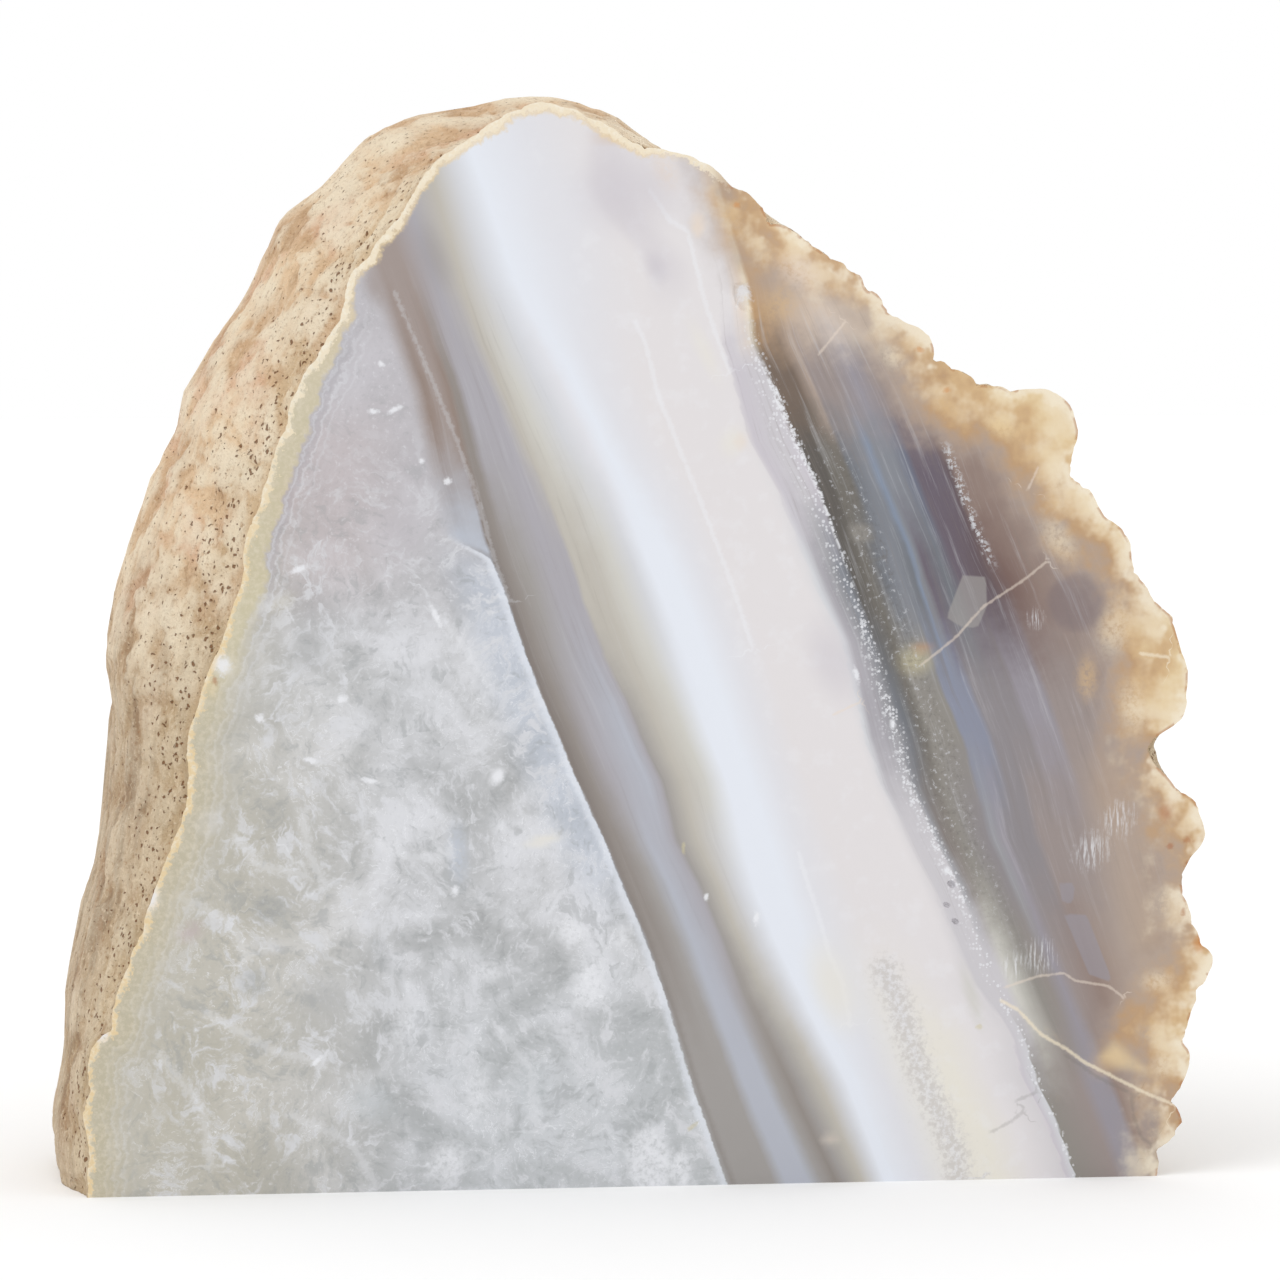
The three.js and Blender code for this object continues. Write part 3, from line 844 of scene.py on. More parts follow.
# %% Stains of the face
RAGGED_STAINS = [  # milky and dim places in the quartz, with an edge that the grain breaks up
    (-12.4, 41.8, 1.1, 1.6, 35, 0.7, "white", 0.6), (-3.2, 20.4, 2.4, 3.8, 8, 0.7, "white", 0.6),
    (2.9, 2.6, 2.3, 3.4, -5, 0.5, "white", 0.7), (6.2, 1.8, 1.0, 1.8, 0, 0.5, "white", 0.7),
    (-5.0, 25.8, 1.9, 2.2, 15, 0.7, "white", 0.6), (-17.6, 2.8, 2.6, 3.0, 40, 0.7, "white", 0.6),
    (-14.4, 9.6, 1.9, 4.0, 8, 0.9, "white", 0.55), (-16.3, 34.0, 1.5, 4.8, -4, 0.9, "quartz blue", 0.7),
    (0.2, 25.4, 1.2, 1.6, 30, 0.6, "white", 0.5), (-35.5, 25.0, 2.6, 1.2, 10, 0.8, "quartz white", 0.6),
    (-13.2, 22.0, 2.4, 1.5, -10, 0.8, "white", 0.5),
    (-5.0, 16.0, 2.8, 2.6, 20, 0.8, "quartz white", 0.7),
    (-9.5, 30.5, 2.2, 3.6, 25, 0.9, "quartz white", 0.6),
    (-22.0, 16.5, 2.2, 3.2, 30, 0.9, "white", 0.45),
    (-35.0, 28.6, 2.4, 1.9, 0, 0.6, "quartz deep", 0.55),
    (-36.6, 21.3, 2.2, 2.2, 30, 0.7, "quartz deep", 0.5),
    (-24.0, 24.0, 1.4, 3.0, -30, 0.8, "quartz deep", 0.45),
    (-30, 20, 4, 3, 20, 0.9, "quartz shade", 0.5),
    (-26, 47, 3.4, 2.6, 20, 0.9, "quartz white", 0.55),
    (-20, 53, 2.2, 4.0, -10, 0.9, "quartz white", 0.5),
    (-31, 54, 3.0, 3.4, 10, 0.9, "quartz shade", 0.5),
    (-9, 10.5, 3.0, 3.6, 10, 0.9, "quartz green", 0.6),
    (-25, 9, 4.0, 3.0, 15, 0.9, "quartz green", 0.6), (-46, 8, 3.0, 5.0, 10, 0.9, "quartz beige", 0.6),
    (-33.5, 70, 2.4, 4.0, 25, 0.9, "quartz pink", 0.8), (-22, 66, 4.0, 5.0, 0, 0.9, "quartz lilac", 0.5),
    (-39.2, 53, 1.0, 1.2, 0, 0.6, "white", 0.8), (-46.7, 29.6, 1.1, 1.7, 0, 0.7, "white", 0.8),
    (-51.5, 17, 1.0, 1.3, 0, 0.7, "white", 0.8), (-43.0, 26.5, 2.0, 1.3, -30, 0.7, "quartz pink", 0.7),
    (50.3, 56, 2.6, 4.2, 10, 0.95, "cream", 0.5), (52.2, 48, 2.2, 4.4, -10, 0.95, "cream", 0.5),
    (47.5, 51, 1.6, 3.4, 0, 0.95, "gold", 0.6), (44.5, 65, 2.0, 3.8, -35, 0.95, "cream", 0.5),
    (55, 20, 2.6, 1.6, 0, 0.95, "cream", 0.5), (27.5, 83.5, 2.2, 1.6, 40, 0.9, "cream", 0.5),
    (18, 92, 3.4, 2.4, 30, 0.9, "peach", 0.6), (38.5, 76.5, 2.8, 1.6, 30, 0.9, "pale gold", 0.6),
    (55, 28, 1.6, 3.4, 0, 0.95, "clay", 0.8), (52.5, 36, 1.6, 4.0, -15, 0.95, "clay", 0.7),
    (53.5, 14.5, 1.4, 2.4, 0, 0.95, "clay", 0.6), (54.5, 5, 1.4, 3.4, 0, 0.95, "rose taupe", 0.7),
    (44.4, 71.5, 1.4, 2.6, 0, 0.95, "cream", 0.5), (33, 78.5, 2.6, 1.4, 60, 0.95, "gold", 0.6),
    (11.3, 97.8, 1.2, 2.0, 30, 0.9, "gold", 0.6), (55.6, 11.4, 1.8, 2.0, 0, 0.9, "cream", 0.5),
    (4.5, 101.8, 3.0, 1.8, 60, 0.95, "peach", 0.7), (16, 88.6, 2.6, 3.0, 40, 0.95, "gold", 0.5),
]
SOFT_STAINS = [
    (11.3, 75, 1.8, 2.4, 20, 0.9, "cream white", 0.6), (12.2, 75, 1.0, 1.2, 0, 0.8, "peach", 0.45),
    (7.8, 96.6, 1.0, 1.8, 0, 0.7, "peach", 0.8), (0.2, 105.4, 4.0, 1.2, -5, 0.9, "gold", 0.5),
    (21.5, 20, 3.0, 7, -20, 0.9, "cream white", 0.7),
    (-7.7, 35.2, 2.8, 0.8, -14, 0.8, "cream white", 0.7),
    (21.3, 4.4, 1.4, 0.9, 0, 0.9, "peach", 0.4), (29.9, 53, 2.6, 2.4, 0, 0.9, "olive gold", 0.5),
    (30.6, 54.2, 1.6, 0.9, 0, 0.9, "amber", 0.3), (24.3, 65.8, 1.2, 1.0, 20, 0.5, "olive grey", 0.8),
    (55.6, 37.3, 1.0, 1.3, 0, 0.7, "rust", 0.55), (59.3, 23.8, 0.9, 1.2, 0, 0.6, "amber", 0.5),
    (35.8, 18.8, 1.0, 5.0, -18, 0.9, "olive cream", 0.7),
    (3.6, 92.4, 1.6, 2.4, -25, 0.9, "lavender", 0.6),
    (-41.2, 51.5, 1.1, 2.4, -25, 0.6, "pale gold", 0.9), (46.3, 58.6, 3.0, 2.8, 20, 0.35, "mauve", 0.35),
    (21.5, 53, 3.5, 6.5, -22, 0.9, "lavender", 0.5), (8.5, 84, 1.2, 5.0, -25, 0.9, "cream white", 0.5),
    (-41.2, 37.4, 1.4, 1.4, 0, 0.5, "quartz white", 0.5), (50, 12, 3.0, 2.0, -35, 0.9, "gold", 0.5),
    (50, 40, 3.0, 6.0, -10, 0.9, "tan", 0.4), (37, 71, 2.0, 4.5, -25, 0.9, "rose brown", 0.5),
    (-33.8, 59.2, 2.0, 1.0, -30, 0.8, "quartz beige", 0.7),
    (-24.5, 90.5, 1.4, 3.0, -20, 0.9, "warm taupe", 0.6),
    (-18.5, 93.5, 2.0, 5.5, -20, 0.9, "taupe", 0.35), (-6, 98, 5.0, 5.0, 0, 0.9, "cool white", 0.6),
    (1, 100, 8.0, 6.0, 0, 0.95, "lavender", 0.55),
]


def stain_layer(places, stains):
    """Stains mixed over each other at each place: their colour and how much they cover."""
    layer = np.zeros((len(places), 4))
    for across, up, half_width, half_height, lean, softness, name, strength in stains:
        turn = math.radians(lean)
        x, z = places[:, 0] - across, places[:, 1] - up
        along = (x * math.sin(turn) + z * math.cos(turn)) / half_height
        beside = (x * math.cos(turn) - z * math.sin(turn)) / half_width
        share = np.clip((1 - np.hypot(beside, along)) / softness + 0.5 * (softness < 0.6), 0, 1)
        share = (share * share * (3 - 2 * share) * strength)[:, None]
        layer = layer * (1 - share) + np.array(tone(*TONES[name])) * share
    return layer


drawn = np.column_stack([rows[:, 0], rows[:, 2] - rows[:, 1]])
note_sawn("ragged_stains", stain_layer(drawn, RAGGED_STAINS))
note_sawn("soft_stains", stain_layer(drawn, SOFT_STAINS))
print("stains on the face:", len(RAGGED_STAINS) + len(SOFT_STAINS))

# %% [markdown]
# ### Cracks and thin lines
#
# A crack is kept as two numbers: how far a point is beside it, with a sign for the side, and how far
# beyond its end. Both change evenly from point to point, so the length of the pair gives a line that is
# much thinner than the net. Far from a crack only the second number is left, and cracks of one kind can
# then share one note. A flat window is kept as how far a point lies inside its straight edges.

# %% Cracks of the face
CRACKS = {
    "scallops": [
        [(1.5, 87), (2.5, 85), (3.7, 80), (5.7, 75), (8.7, 67.5), (11.5, 60), (13.5, 54)],
        [(3, 100), (5, 97), (6.8, 96), (7.5, 93), (8.5, 89), (9.5, 86), (11, 82)],
        [(18.1, 33.5), (18.7, 31.4), (20.2, 27), (21.3, 23), (22.5, 20.4), (23.4, 16)],
    ],
    "wisps": [[(-22.5, 90), (-19.5, 83), (-16.2, 75), (-14.4, 70), (-12.6, 63.5), (-11, 59)]],
    "crystal_edges": [
        [(-41.5, 18.3), (-38.5, 16.6), (-35, 14.5), (-30, 13)],
        [(-31.7, 38.3), (-31.3, 34.4), (-29.5, 31)],
        [(-44, 30), (-39, 27.5), (-37.3, 23.8)], [(-46, 14), (-42, 9), (-41, 3)],
        [(-36, 58.5), (-33.6, 59.6)], [(-33, 8), (-27, 5), (-24.5, 0.5)],
        [(-38.5, 36), (-36, 33), (-31.7, 32)], [(-17.8, 57.5), (-12.7, 50.3)],
        [(-26, 36), (-21, 33.5), (-17, 34)], [(-12, 16), (-9, 12), (-8.5, 6)],
    ],
    "vein": [[(26.9, 21.5), (28.3, 18.4), (29.6, 14), (31, 10), (32.8, 6.2), (34.3, 2.4), (34.6, 0)]],
    "pale_breaks": [
        [(30.3, 52.3), (34, 55.2), (36.8, 58.3), (41, 61), (43.5, 63)],
        [(39.1, 19.6), (42.6, 20.7), (45.3, 21), (46.4, 20.2), (49.9, 19.6), (51.6, 18.3)],
        [(20, 83.7), (22.7, 87)], [(21.5, 47.5), (24.6, 48.9)], [(42.4, 72.4), (41.3, 70)],
    ],
    "cream_breaks": [
        [
            (38.8, 18.3), (40.7, 17.2), (42.9, 14.8), (45.6, 13.2), (47.5, 11.8), (51, 10), (53.7, 8.6),
            (57, 7.2),
        ],
        [(53, 53.4), (56, 53)],
    ],
    "dark_breaks": [
        [(37.8, 4.8), (39.9, 5.9), (41.3, 7)], [(40.5, 8), (42.6, 8.9)],
        [(52.3, 8.6), (52.6, 6.2), (53.4, 4), (54.5, 3.2)], [(24, 62.6), (27, 63.4)],
        [(45.5, 12.6), (49, 10.2), (53, 8.2)],
    ],
}
TURNS_FROM, TURNS_TO = 2.6, 4.5  # mm from a line between which the pair turns into distance alone
NO_MARK = 90.0  # kept on the skin, where there is no mark


def line_note(places, lines):
    """The pair of numbers for the nearest of several lines, as vectors."""
    best = np.full(len(places), 1e9)
    pairs = np.zeros((len(places), 3))
    for line in lines:
        line = np.array(line, float)
        gap, left = gap_to_line(places, line)
        sign = np.where(left, 1.0, -1.0)
        beside, beyond = sign * gap, np.zeros(len(places))
        for end, inner in ((line[0], line[1]), (line[-1], line[-2])):
            away = (end - inner) / np.linalg.norm(end - inner)
            off = places - end
            past = off @ away
            over = (past > 0) & (np.hypot(*off.T) < gap + 1e-9)
            across_end = off[:, 0] * away[1] - off[:, 1] * away[0]
            beside[over], beyond[over] = across_end[over], past[over]
        turn = np.clip((gap - TURNS_FROM) / (TURNS_TO - TURNS_FROM), 0, 1)[:, None]
        none = np.zeros(len(places))
        near, far = np.column_stack([beside, beyond, none]), np.column_stack([none, gap, none])
        pair = near * (1 - turn) + far * turn
        closer = gap < best
        pairs[closer], best[closer] = pair[closer], gap[closer]
    return pairs


FACETS = {  # flat crystal windows with straight edges
    "grey_windows": [
        [(34.6, 61.6), (37.2, 61.4), (37.3, 58.3), (36.3, 56), (34.4, 56.2), (32.9, 57.2)],
    ],
    "lilac_windows": [
        [(45, 27.2), (47.7, 27), (50.6, 19.7), (47.8, 20.7)],
        [(44.6, 30.3), (46.5, 30.3), (46.3, 28), (45, 28)],
    ],
    "cream_windows": [
        [(42.9, 16.6), (45.9, 13.8), (45.4, 13.2), (43.1, 14.9)],
        [(50.4, 15), (56.6, 9.6), (51, 10.4), (48, 12)],
        [(44.3, 9), (45.3, 8.2), (45, 7.2), (44.2, 7.8)],
    ],
}
OUTSIDE = -5.0  # kept for all points further than this outside a window, mm


def facet_note(places, polygons):
    """How far inside the nearest of several convex polygons each place lies, mm."""
    depth = np.full(len(places), -np.inf)
    for polygon in polygons:
        corners = np.array(polygon, float)
        middle = corners.mean(0)
        inner = np.full(len(places), np.inf)
        for a, b in zip(corners, np.roll(corners, -1, axis=0)):
            normal = np.array([a[1] - b[1], b[0] - a[0]]) / np.linalg.norm(b - a)
            normal *= np.sign((middle - a) @ normal)
            inner = np.minimum(inner, (places - a) @ normal)
        depth = np.maximum(depth, inner)
    return np.clip(depth, OUTSIDE, -OUTSIDE)


for name, polygons in FACETS.items():
    note_sawn(name, facet_note(drawn, polygons), OUTSIDE)
for name, lines in CRACKS.items():
    note_sawn(name, line_note(drawn, lines), NO_MARK)
print("cracks and lines:", sum(len(lines) for lines in CRACKS.values()))

# %% [markdown]
# ### Small flecks
#
# One list for each tone. A fleck is kept as a vector: how far a point is from its middle, turned and
# stretched so that the fleck is a circle of radius one. Near a fleck the vector changes evenly from point
# to point, so its length draws a sharp edge inside the net. Further off it turns into its third number,
# where it can change over to the next fleck. Flecks too close together for that go on a layer of their own.

# %% Flecks of the face
FLECK_MARKS = {  # across, up, half width, half height, lean
    "white": [
        (-19.8, 73.2, 0.4, 0.45, 0), (-17.2, 71.2, 0.55, 0.6, 0), (-23.8, 82.8, 0.5, 0.4, 20),
        (-22.5, 78.3, 1.1, 0.4, -25), (-24.6, 78.1, 0.8, 0.4, 0), (-27.8, 49.5, 0.8, 0.55, -20),
        (-31.0, 43.5, 1.0, 0.5, 10), (-36.0, 47.7, 0.7, 0.6, 20), (-25.1, 41.4, 1.2, 0.4, 15),
        (-16.6, 30.2, 0.6, 0.7, 0), (-30.5, 13.3, 0.9, 0.4, -40), (-32.0, 62.5, 1.4, 0.5, -20),
        (-18.5, 57.9, 0.4, 1.8, -25), (-12.3, 41.6, 0.8, 1.2, 30), (8.7, 29.2, 0.35, 0.55, 0),
        (13.8, 27, 0.45, 1.0, 0), (23.9, 51.5, 0.4, 1.1, -15), (27.6, 46.5, 0.4, 0.7, 0),
        (33.2, 31.6, 0.5, 0.5, 0), (12.4, 89.4, 1.1, 1.6, 10),
        (-39.6, 53.0, 1.2, 1.4, 0), (-46.9, 29.8, 1.0, 1.8, 20), (-51.8, 16.6, 0.9, 1.5, 0),
    ],
    "amber": [(11.7, 98.6, 0.5, 0.4, 0), (30.2, 84.2, 0.6, 0.4, 0), (33, 80.1, 0.6, 0.4, 0)],
    "olive gold": [(6.4, 34.2, 0.28, 0.9, 0), (7.3, 6, 0.8, 0.35, -35), (36.6, 15.6, 0.5, 0.4, 0)],
    "rust": [
        (56.2, 33.8, 0.5, 0.5, 0), (58, 34.4, 0.8, 0.5, 0), (57.6, 27, 0.4, 0.6, 0),
        (-40.4, 51.5, 0.4, 0.6, 0),
    ],
    "brushed": [  # patches of fine white scratches
        (48.2, 33.5, 2.4, 3.0, 35), (50.8, 36.6, 2.2, 2.8, 35), (40.2, 21.8, 1.8, 1.9, 30),
        (42.8, 22.8, 2.4, 2.5, 45), (42.2, 57, 1.2, 1.5, 0),
    ],
}
FLECK_TURNS_FROM, FLECK_TURNS_TO = 1.2, 2.2  # mm past a fleck between which its vector turns


def fleck_layers(ovals):
    """The flecks shared out over layers, so that those of one layer lie well apart."""
    layers = []
    for oval in ovals:
        for layer in layers:
            room = [
                math.dist(oval[:2], other[:2]) - max(oval[2:4]) - max(other[2:4]) for other in layer
            ]
            if min(room) > 2 * FLECK_TURNS_TO:
                layer.append(oval)
                break
        else:
            layers.append([oval])
    return layers


def fleck_note(places, ovals):
    """The vector from the nearest of several flecks. A lean above nought tips the top to the right."""
    best = np.full(len(places), 1e9)
    vectors = np.zeros((len(places), 3))
    for across, up, half_width, half_height, lean in ovals:
        turn = math.radians(lean)
        x, z = places[:, 0] - across, places[:, 1] - up
        beside = (x * math.cos(turn) - z * math.sin(turn)) / half_width
        along = (x * math.sin(turn) + z * math.cos(turn)) / half_height
        gap = np.hypot(x, z) - max(half_width, half_height)
        far = np.clip((gap - FLECK_TURNS_FROM) / (FLECK_TURNS_TO - FLECK_TURNS_FROM), 0, 1)
        away = np.hypot(beside, along)
        vector = np.column_stack([beside * (1 - far), along * (1 - far), away * far])
        closer = gap < best
        vectors[closer], best[closer] = vector[closer], gap[closer]
    return vectors


LAYERS_OF = {}  # the notes of each kind of fleck
for name, ovals in FLECK_MARKS.items():
    LAYERS_OF[name] = []
    for number, layer in enumerate(fleck_layers(ovals)):
        LAYERS_OF[name].append(f"{name.replace(' ', '_')}_flecks_{number}")
        note_sawn(LAYERS_OF[name][-1], fleck_note(drawn, layer), NO_MARK)
print("layers of flecks:", {name: len(layers) for name, layers in LAYERS_OF.items()})


# %% Marks laid over a colour
class Marks:
    """Lays marks over a colour, one after another. Their edges wobble with a noise."""

    def __init__(self, colour, wobble):
        self.colour, self.wobble, self.tree = colour, wobble, colour.tree

    def lay(self, mask, name, strength=1.0):
        share = mask if strength == 1.0 else mask * strength
        self.colour = blend(share, self.colour, name)

    def flecks(self, name, softness, ragged):
        """The mask of all flecks of one list, from their layers on the mesh."""
        layers = [vector_calc("LENGTH", noted(self.tree, n, "Vector")) for n in LAYERS_OF[name]]
        away = layers[0]
        for layer in layers[1:]:
            away = calc("MINIMUM", away, layer)
        return fade(away + self.wobble * ragged, 1 - softness, 1.0, 1.0, 0.0)

    def line(self, name, half_width, softness, ragged):
        """The mask of the cracks that are noted on the mesh under a name."""
        gap = vector_calc("LENGTH", noted(self.tree, name, "Vector")) + self.wobble * ragged
        return fade(gap, half_width * (1 - softness), half_width, 1.0, 0.0)

    def windows(self, name, softness=0.25):
        """The mask of the flat windows that are noted under a name."""
        return fade(noted(self.tree, name), 0.0, softness)

    def layer(self, name, broken_by=None):
        """A layer of stains that is noted on the mesh. Its colour already holds its share."""
        cover, colour = noted(self.tree, name, "Alpha"), noted(self.tree, name, "Color")
        if broken_by is not None:
            cover, colour = cover * broken_by, scaled(colour, broken_by)
        self.colour = vector_calc("ADD", scaled(self.colour, 1.0 - cover), colour)


# %% [markdown]
# ## Cloudy quartz
#
# The left third of the face is coarse white quartz: clouds, crystals that each have fine stripes running
# their own way, and thin bright lines where they meet. It is greyer and warmer towards the lower left,
# greener low down and bluer towards the bands.

# %% The quartz group
def quartz_group():
    inputs = [("Place", "Vector"), ("Bent", "Vector"), ("Band", "Float"), ("Noise", "Float")]
    tree, given, made = new_tree("cloudy_quartz", "ShaderNodeTree", inputs, [("Color", "Color")])
    place, bent, band, grain = given.values()
    across, up, _ = split(place)
    low = fade(up, 84, 58)
    broad = flat_noise(place, 10.0, 3.0, 0.6, 0.5)

    crystals = cells(bent, 4.6, "2D")
    random = crystals.other("Color")
    lightness, turn, _ = split(random)
    from_heart = vector_calc("SUBTRACT", bent, crystals.other("Position"))
    inputs = {"Vector": from_heart, "Angle": turn * 6.3}
    turned = worked("ShaderNodeVectorRotate", inputs, rotation_type="Z_AXIS")
    shifted = vector_calc("MULTIPLY", random, (37.0, 23.0, 0.0))
    stripe_place = vector_calc("MULTIPLY_ADD", turned, (0.3, 1.1, 0.0), shifted)
    stripes = flat_noise(stripe_place, 1.0, 4.0, 0.66)
    clouds = flat_noise(bent, 3.6, 5.0, 0.66)
    milk = clouds * 0.5 + stripes * 0.5 + (lightness - 0.5) * 0.09
    thin_lines = fade(calc("ABSOLUTE", milk - 0.535), 0.0, 0.01, 1.0, 0.0)

    stops = [(0.3, "quartz shade"), (0.46, "quartz grey"), (0.64, "quartz white")]
    coated(ramp(broad, stops), [
        (fade(across, -20, -42) * fade(up, 66, 34) * 0.8, "quartz beige"),
        (fade(up, 50, 74) * 0.7, "quartz lilac"),
        (fade(across, -19, -29) * between(up, 56, 64, 74, 82) * 0.5, "quartz pink"),
        (fade(up, 30, 10) * fade(across, -30, -12) * 0.4, "quartz green"),
        (fade(band, 0.3, 0.8) * between(up, 24, 36, 60, 67) * 0.7, "quartz blue"),
        (fade(milk, 0.5, 0.65) * low * 0.75, "quartz white"),
        (fade(milk, 0.47, 0.35) * (low * 0.25 + 0.15), "quartz deep"),
        (thin_lines * fade(broad, 0.42, 0.54) * fade(up, 66, 46) * 0.6, "white"),
        (fade(grain, 0.06, 0.3) * 0.35, "white"),
        (fade(grain, -0.06, -0.3) * 0.3, "quartz deep"),
    ]).into(made.inputs[0])
    return tree


# %% [markdown]
# ## The bands
#
# Sections through the bands at a few heights say which tone lies where. Between them the tones run into
# each other, as they do when a band slowly thickens, thins or stains on its way down. The part left of the
# clear seam and the dark part right of it have sections of their own.

# %% Tones across the bands
PALE_SECTIONS = [  # height, and the tones over the band measure from left to right
    (94, (
        "0.6 warm taupe, 1.0 warm taupe, 1.5 lilac grey, 2.0 beige, 2.5 silver, 3.0 blue white, 3.3 "
        "cool white, 3.6 warm white, 4.1 warm white"
    )),
    (78, (
        "0.55 quartz lilac, 0.64 warm taupe, 0.76 brown taupe, 0.9 warm taupe, 1.0 brown taupe, 1.1 "
        "taupe, 1.17 taupe, 1.3 lilac grey, 1.8 lilac grey, 2.02 beige, 2.25 olive cream, 2.6 silver, "
        "2.9 cool white, 3.06 blue white, 3.2 cool white, 3.45 warm white, 4.1 warm white"
    )),
    (61, (
        "0.55 quartz blue, 0.98 quartz blue, 1.02 dark taupe, 1.16 taupe, 1.4 stone grey, 1.7 lilac "
        "grey, 1.99 lilac grey, 2.05 beige, 2.3 beige, 2.55 olive cream, 2.8 silver, 3.0 blue white, "
        "3.14 blue white, 3.3 cool white, 3.5 warm white, 3.92 warm white, 4.1 silver"
    )),
    (44, (
        "0.55 quartz blue, 0.98 quartz white, 1.02 dark taupe, 1.18 taupe, 1.45 lilac grey, 1.85 ice "
        "lilac, 1.99 lilac grey, 2.05 stone grey, 2.3 beige, 2.6 olive cream, 2.9 blue white, 3.12 "
        "blue white, 3.3 cool white, 3.5 warm white, 3.94 warm white, 4.1 silver"
    )),
    (29, (
        "0.55 quartz grey, 0.98 quartz blue, 1.03 taupe, 1.2 taupe, 1.4 stone grey, 1.62 ice lilac, "
        "1.96 lilac grey, 2.04 stone grey, 2.3 beige, 2.6 silver, 2.85 blue white, 3.12 blue white, "
        "3.28 cool white, 3.5 warm white, 3.93 warm white, 4.1 seam white"
    )),
    (9, (
        "0.55 quartz grey, 0.98 quartz grey, 1.05 stone grey, 1.45 stone grey, 1.58 ice lilac, 1.8 "
        "ice lilac, 1.94 stone grey, 2.1 taupe, 2.24 stone grey, 2.5 beige, 2.7 silver, 2.85 blue "
        "white, 2.98 blue white, 3.15 cool white, 3.4 cream white, 3.6 cream white, 3.8 warm white, "
        "4.1 seam white"
    )),
]
DARK_SECTIONS = [
    (90, (
        "3.9 warm white, 4.3 warm white, 4.7 peach, 4.95 cream, 5.06 deep gold, 5.4 tan, 6.2 peach, "
        "8.3 pale gold"
    )),
    (81, (
        "3.9 warm white, 4.1 lavender, 4.88 seam white, 5.0 umber, 5.35 umber, 5.55 clay, 5.6 rose "
        "taupe, 5.9 rose taupe, 6.2 dust lilac, 6.5 rose taupe, 6.7 clay, 8.3 tan"
    )),
    (72, (
        "3.9 warm white, 4.1 lavender, 4.6 seam white, 4.92 lavender, 5.0 smoke, 5.2 smoke, 5.3 olive "
        "smoke, 5.52 olive smoke, 5.6 slate, 5.88 pale slate, 5.98 sky, 6.06 pale slate, 6.25 pale "
        "slate, 6.42 deep blue, 6.5 mauve, 6.8 mauve, 6.92 plum, 7.0 rose brown, 7.3 rose brown, 7.8 "
        "clay, 8.3 tan"
    )),
    (61, (
        "3.9 warm white, 4.06 silver, 4.3 lilac grey, 4.6 seam grey, 4.8 pale slate, 4.95 slate, 5.04 "
        "smoke, 5.3 olive smoke, 5.5 slate, 5.72 pale slate, 5.94 slate, 6.0 sky, 6.05 pale slate, "
        "6.12 mauve, 6.35 slate, 6.5 mauve, 6.85 plum, 7.1 brown mauve, 7.4 rose brown, 8.3 rose "
        "taupe"
    )),
    (48, (
        "3.9 warm white, 4.04 silver, 4.2 lilac grey, 4.5 lilac grey, 4.9 seam grey, 5.1 slate, 5.3 "
        "olive smoke, 5.4 olive grey, 5.78 olive grey, 5.83 dust blue, 6.12 dust blue, 6.2 mauve "
        "grey, 6.62 mauve grey, 6.7 dust lilac, 6.98 dust lilac, 7.05 rose taupe, 7.4 rose taupe, 8.3 "
        "tan"
    )),
    (34, (
        "3.9 warm white, 4.1 seam white, 4.9 seam white, 5.02 seam grey, 5.15 dark taupe, 5.38 olive "
        "grey, 5.78 mauve grey, 5.88 seam grey, 6.02 dust lilac, 6.1 mauve grey, 6.35 mauve grey, "
        "6.45 rose taupe, 6.9 rose taupe, 7.2 clay, 8.3 tan"
    )),
    (20, (
        "3.9 warm white, 4.2 seam white, 5.1 seam white, 5.25 olive cream, 5.6 olive grey, 5.8 taupe, "
        "6.0 dust lilac, 6.15 rose taupe, 6.5 rose brown, 7.0 clay, 8.3 gold"
    )),
    (7, (
        "3.9 warm white, 4.1 lavender, 4.9 silver, 5.0 olive grey, 5.65 rose taupe, 5.85 dust lilac, "
        "6.1 dust lilac, 6.2 rose brown, 6.6 clay, 8.3 tan"
    )),
]


def stacked(sections, band, up):
    """The tone at a place, run together from the sections above and below it."""
    colour, above = None, None
    for height, words in sections:
        pairs = [stop.split(maxsplit=1) for stop in words.split(", ")]
        section = ramp(band, [(float(at), name) for at, name in pairs])
        colour = section if colour is None else blend(fade(up, above, height), colour, section)
        above = height
    return colour


# %% The bands group
def bands_group():
    inputs = [("Place", "Vector"), ("Band", "Float"), ("Sway", "Float")]
    tree, given, made = new_tree("bands", "ShaderNodeTree", inputs, [("Color", "Color")])
    place, band, sway = given.values()
    up = split(place)[1]
    swayed, drift = band + sway * 0.035, up + sway * 5.0
    in_dark = fade(band, 3.98, 4.02)
    pale, dark = (stacked(part, swayed, drift) for part in (PALE_SECTIONS, DARK_SECTIONS))

    along = worked("ShaderNodeCombineXYZ", {0: band * 9.0, 1: up * 0.045})
    threads = flat_noise(along, 1.0, 6.0, 0.75)
    off_white = 1.0 - between(band, 2.4, 2.75, 3.96, 4.1)
    strength = (in_dark * 0.14 + 0.16) * off_white * between(up, 0, 62, 86, 96)
    coated(blend(in_dark, pale, dark), [
        (fade(threads, 0.52, 0.76) * strength, "silver"),
        (fade(threads, 0.48, 0.25) * strength * 1.2, "dark taupe"),
    ]).into(made.inputs[0])
    return tree


# %% [markdown]
# ## The whole pattern
#
# One group lays everything over each other in the order in which it grew or broke: quartz and bands,
# gold towards the broken edge on the right with a painted glow and a painted highlight along that edge,
# the rim of crust and olive chalcedony on the left, then the seam's flecks, stains, cracks and chips.
# Both sawn faces use it. Each part has a function of its own, which lays its marks over what is there.

# %% Quartz beside bands
QUARTZ, BANDS = quartz_group(), bands_group()


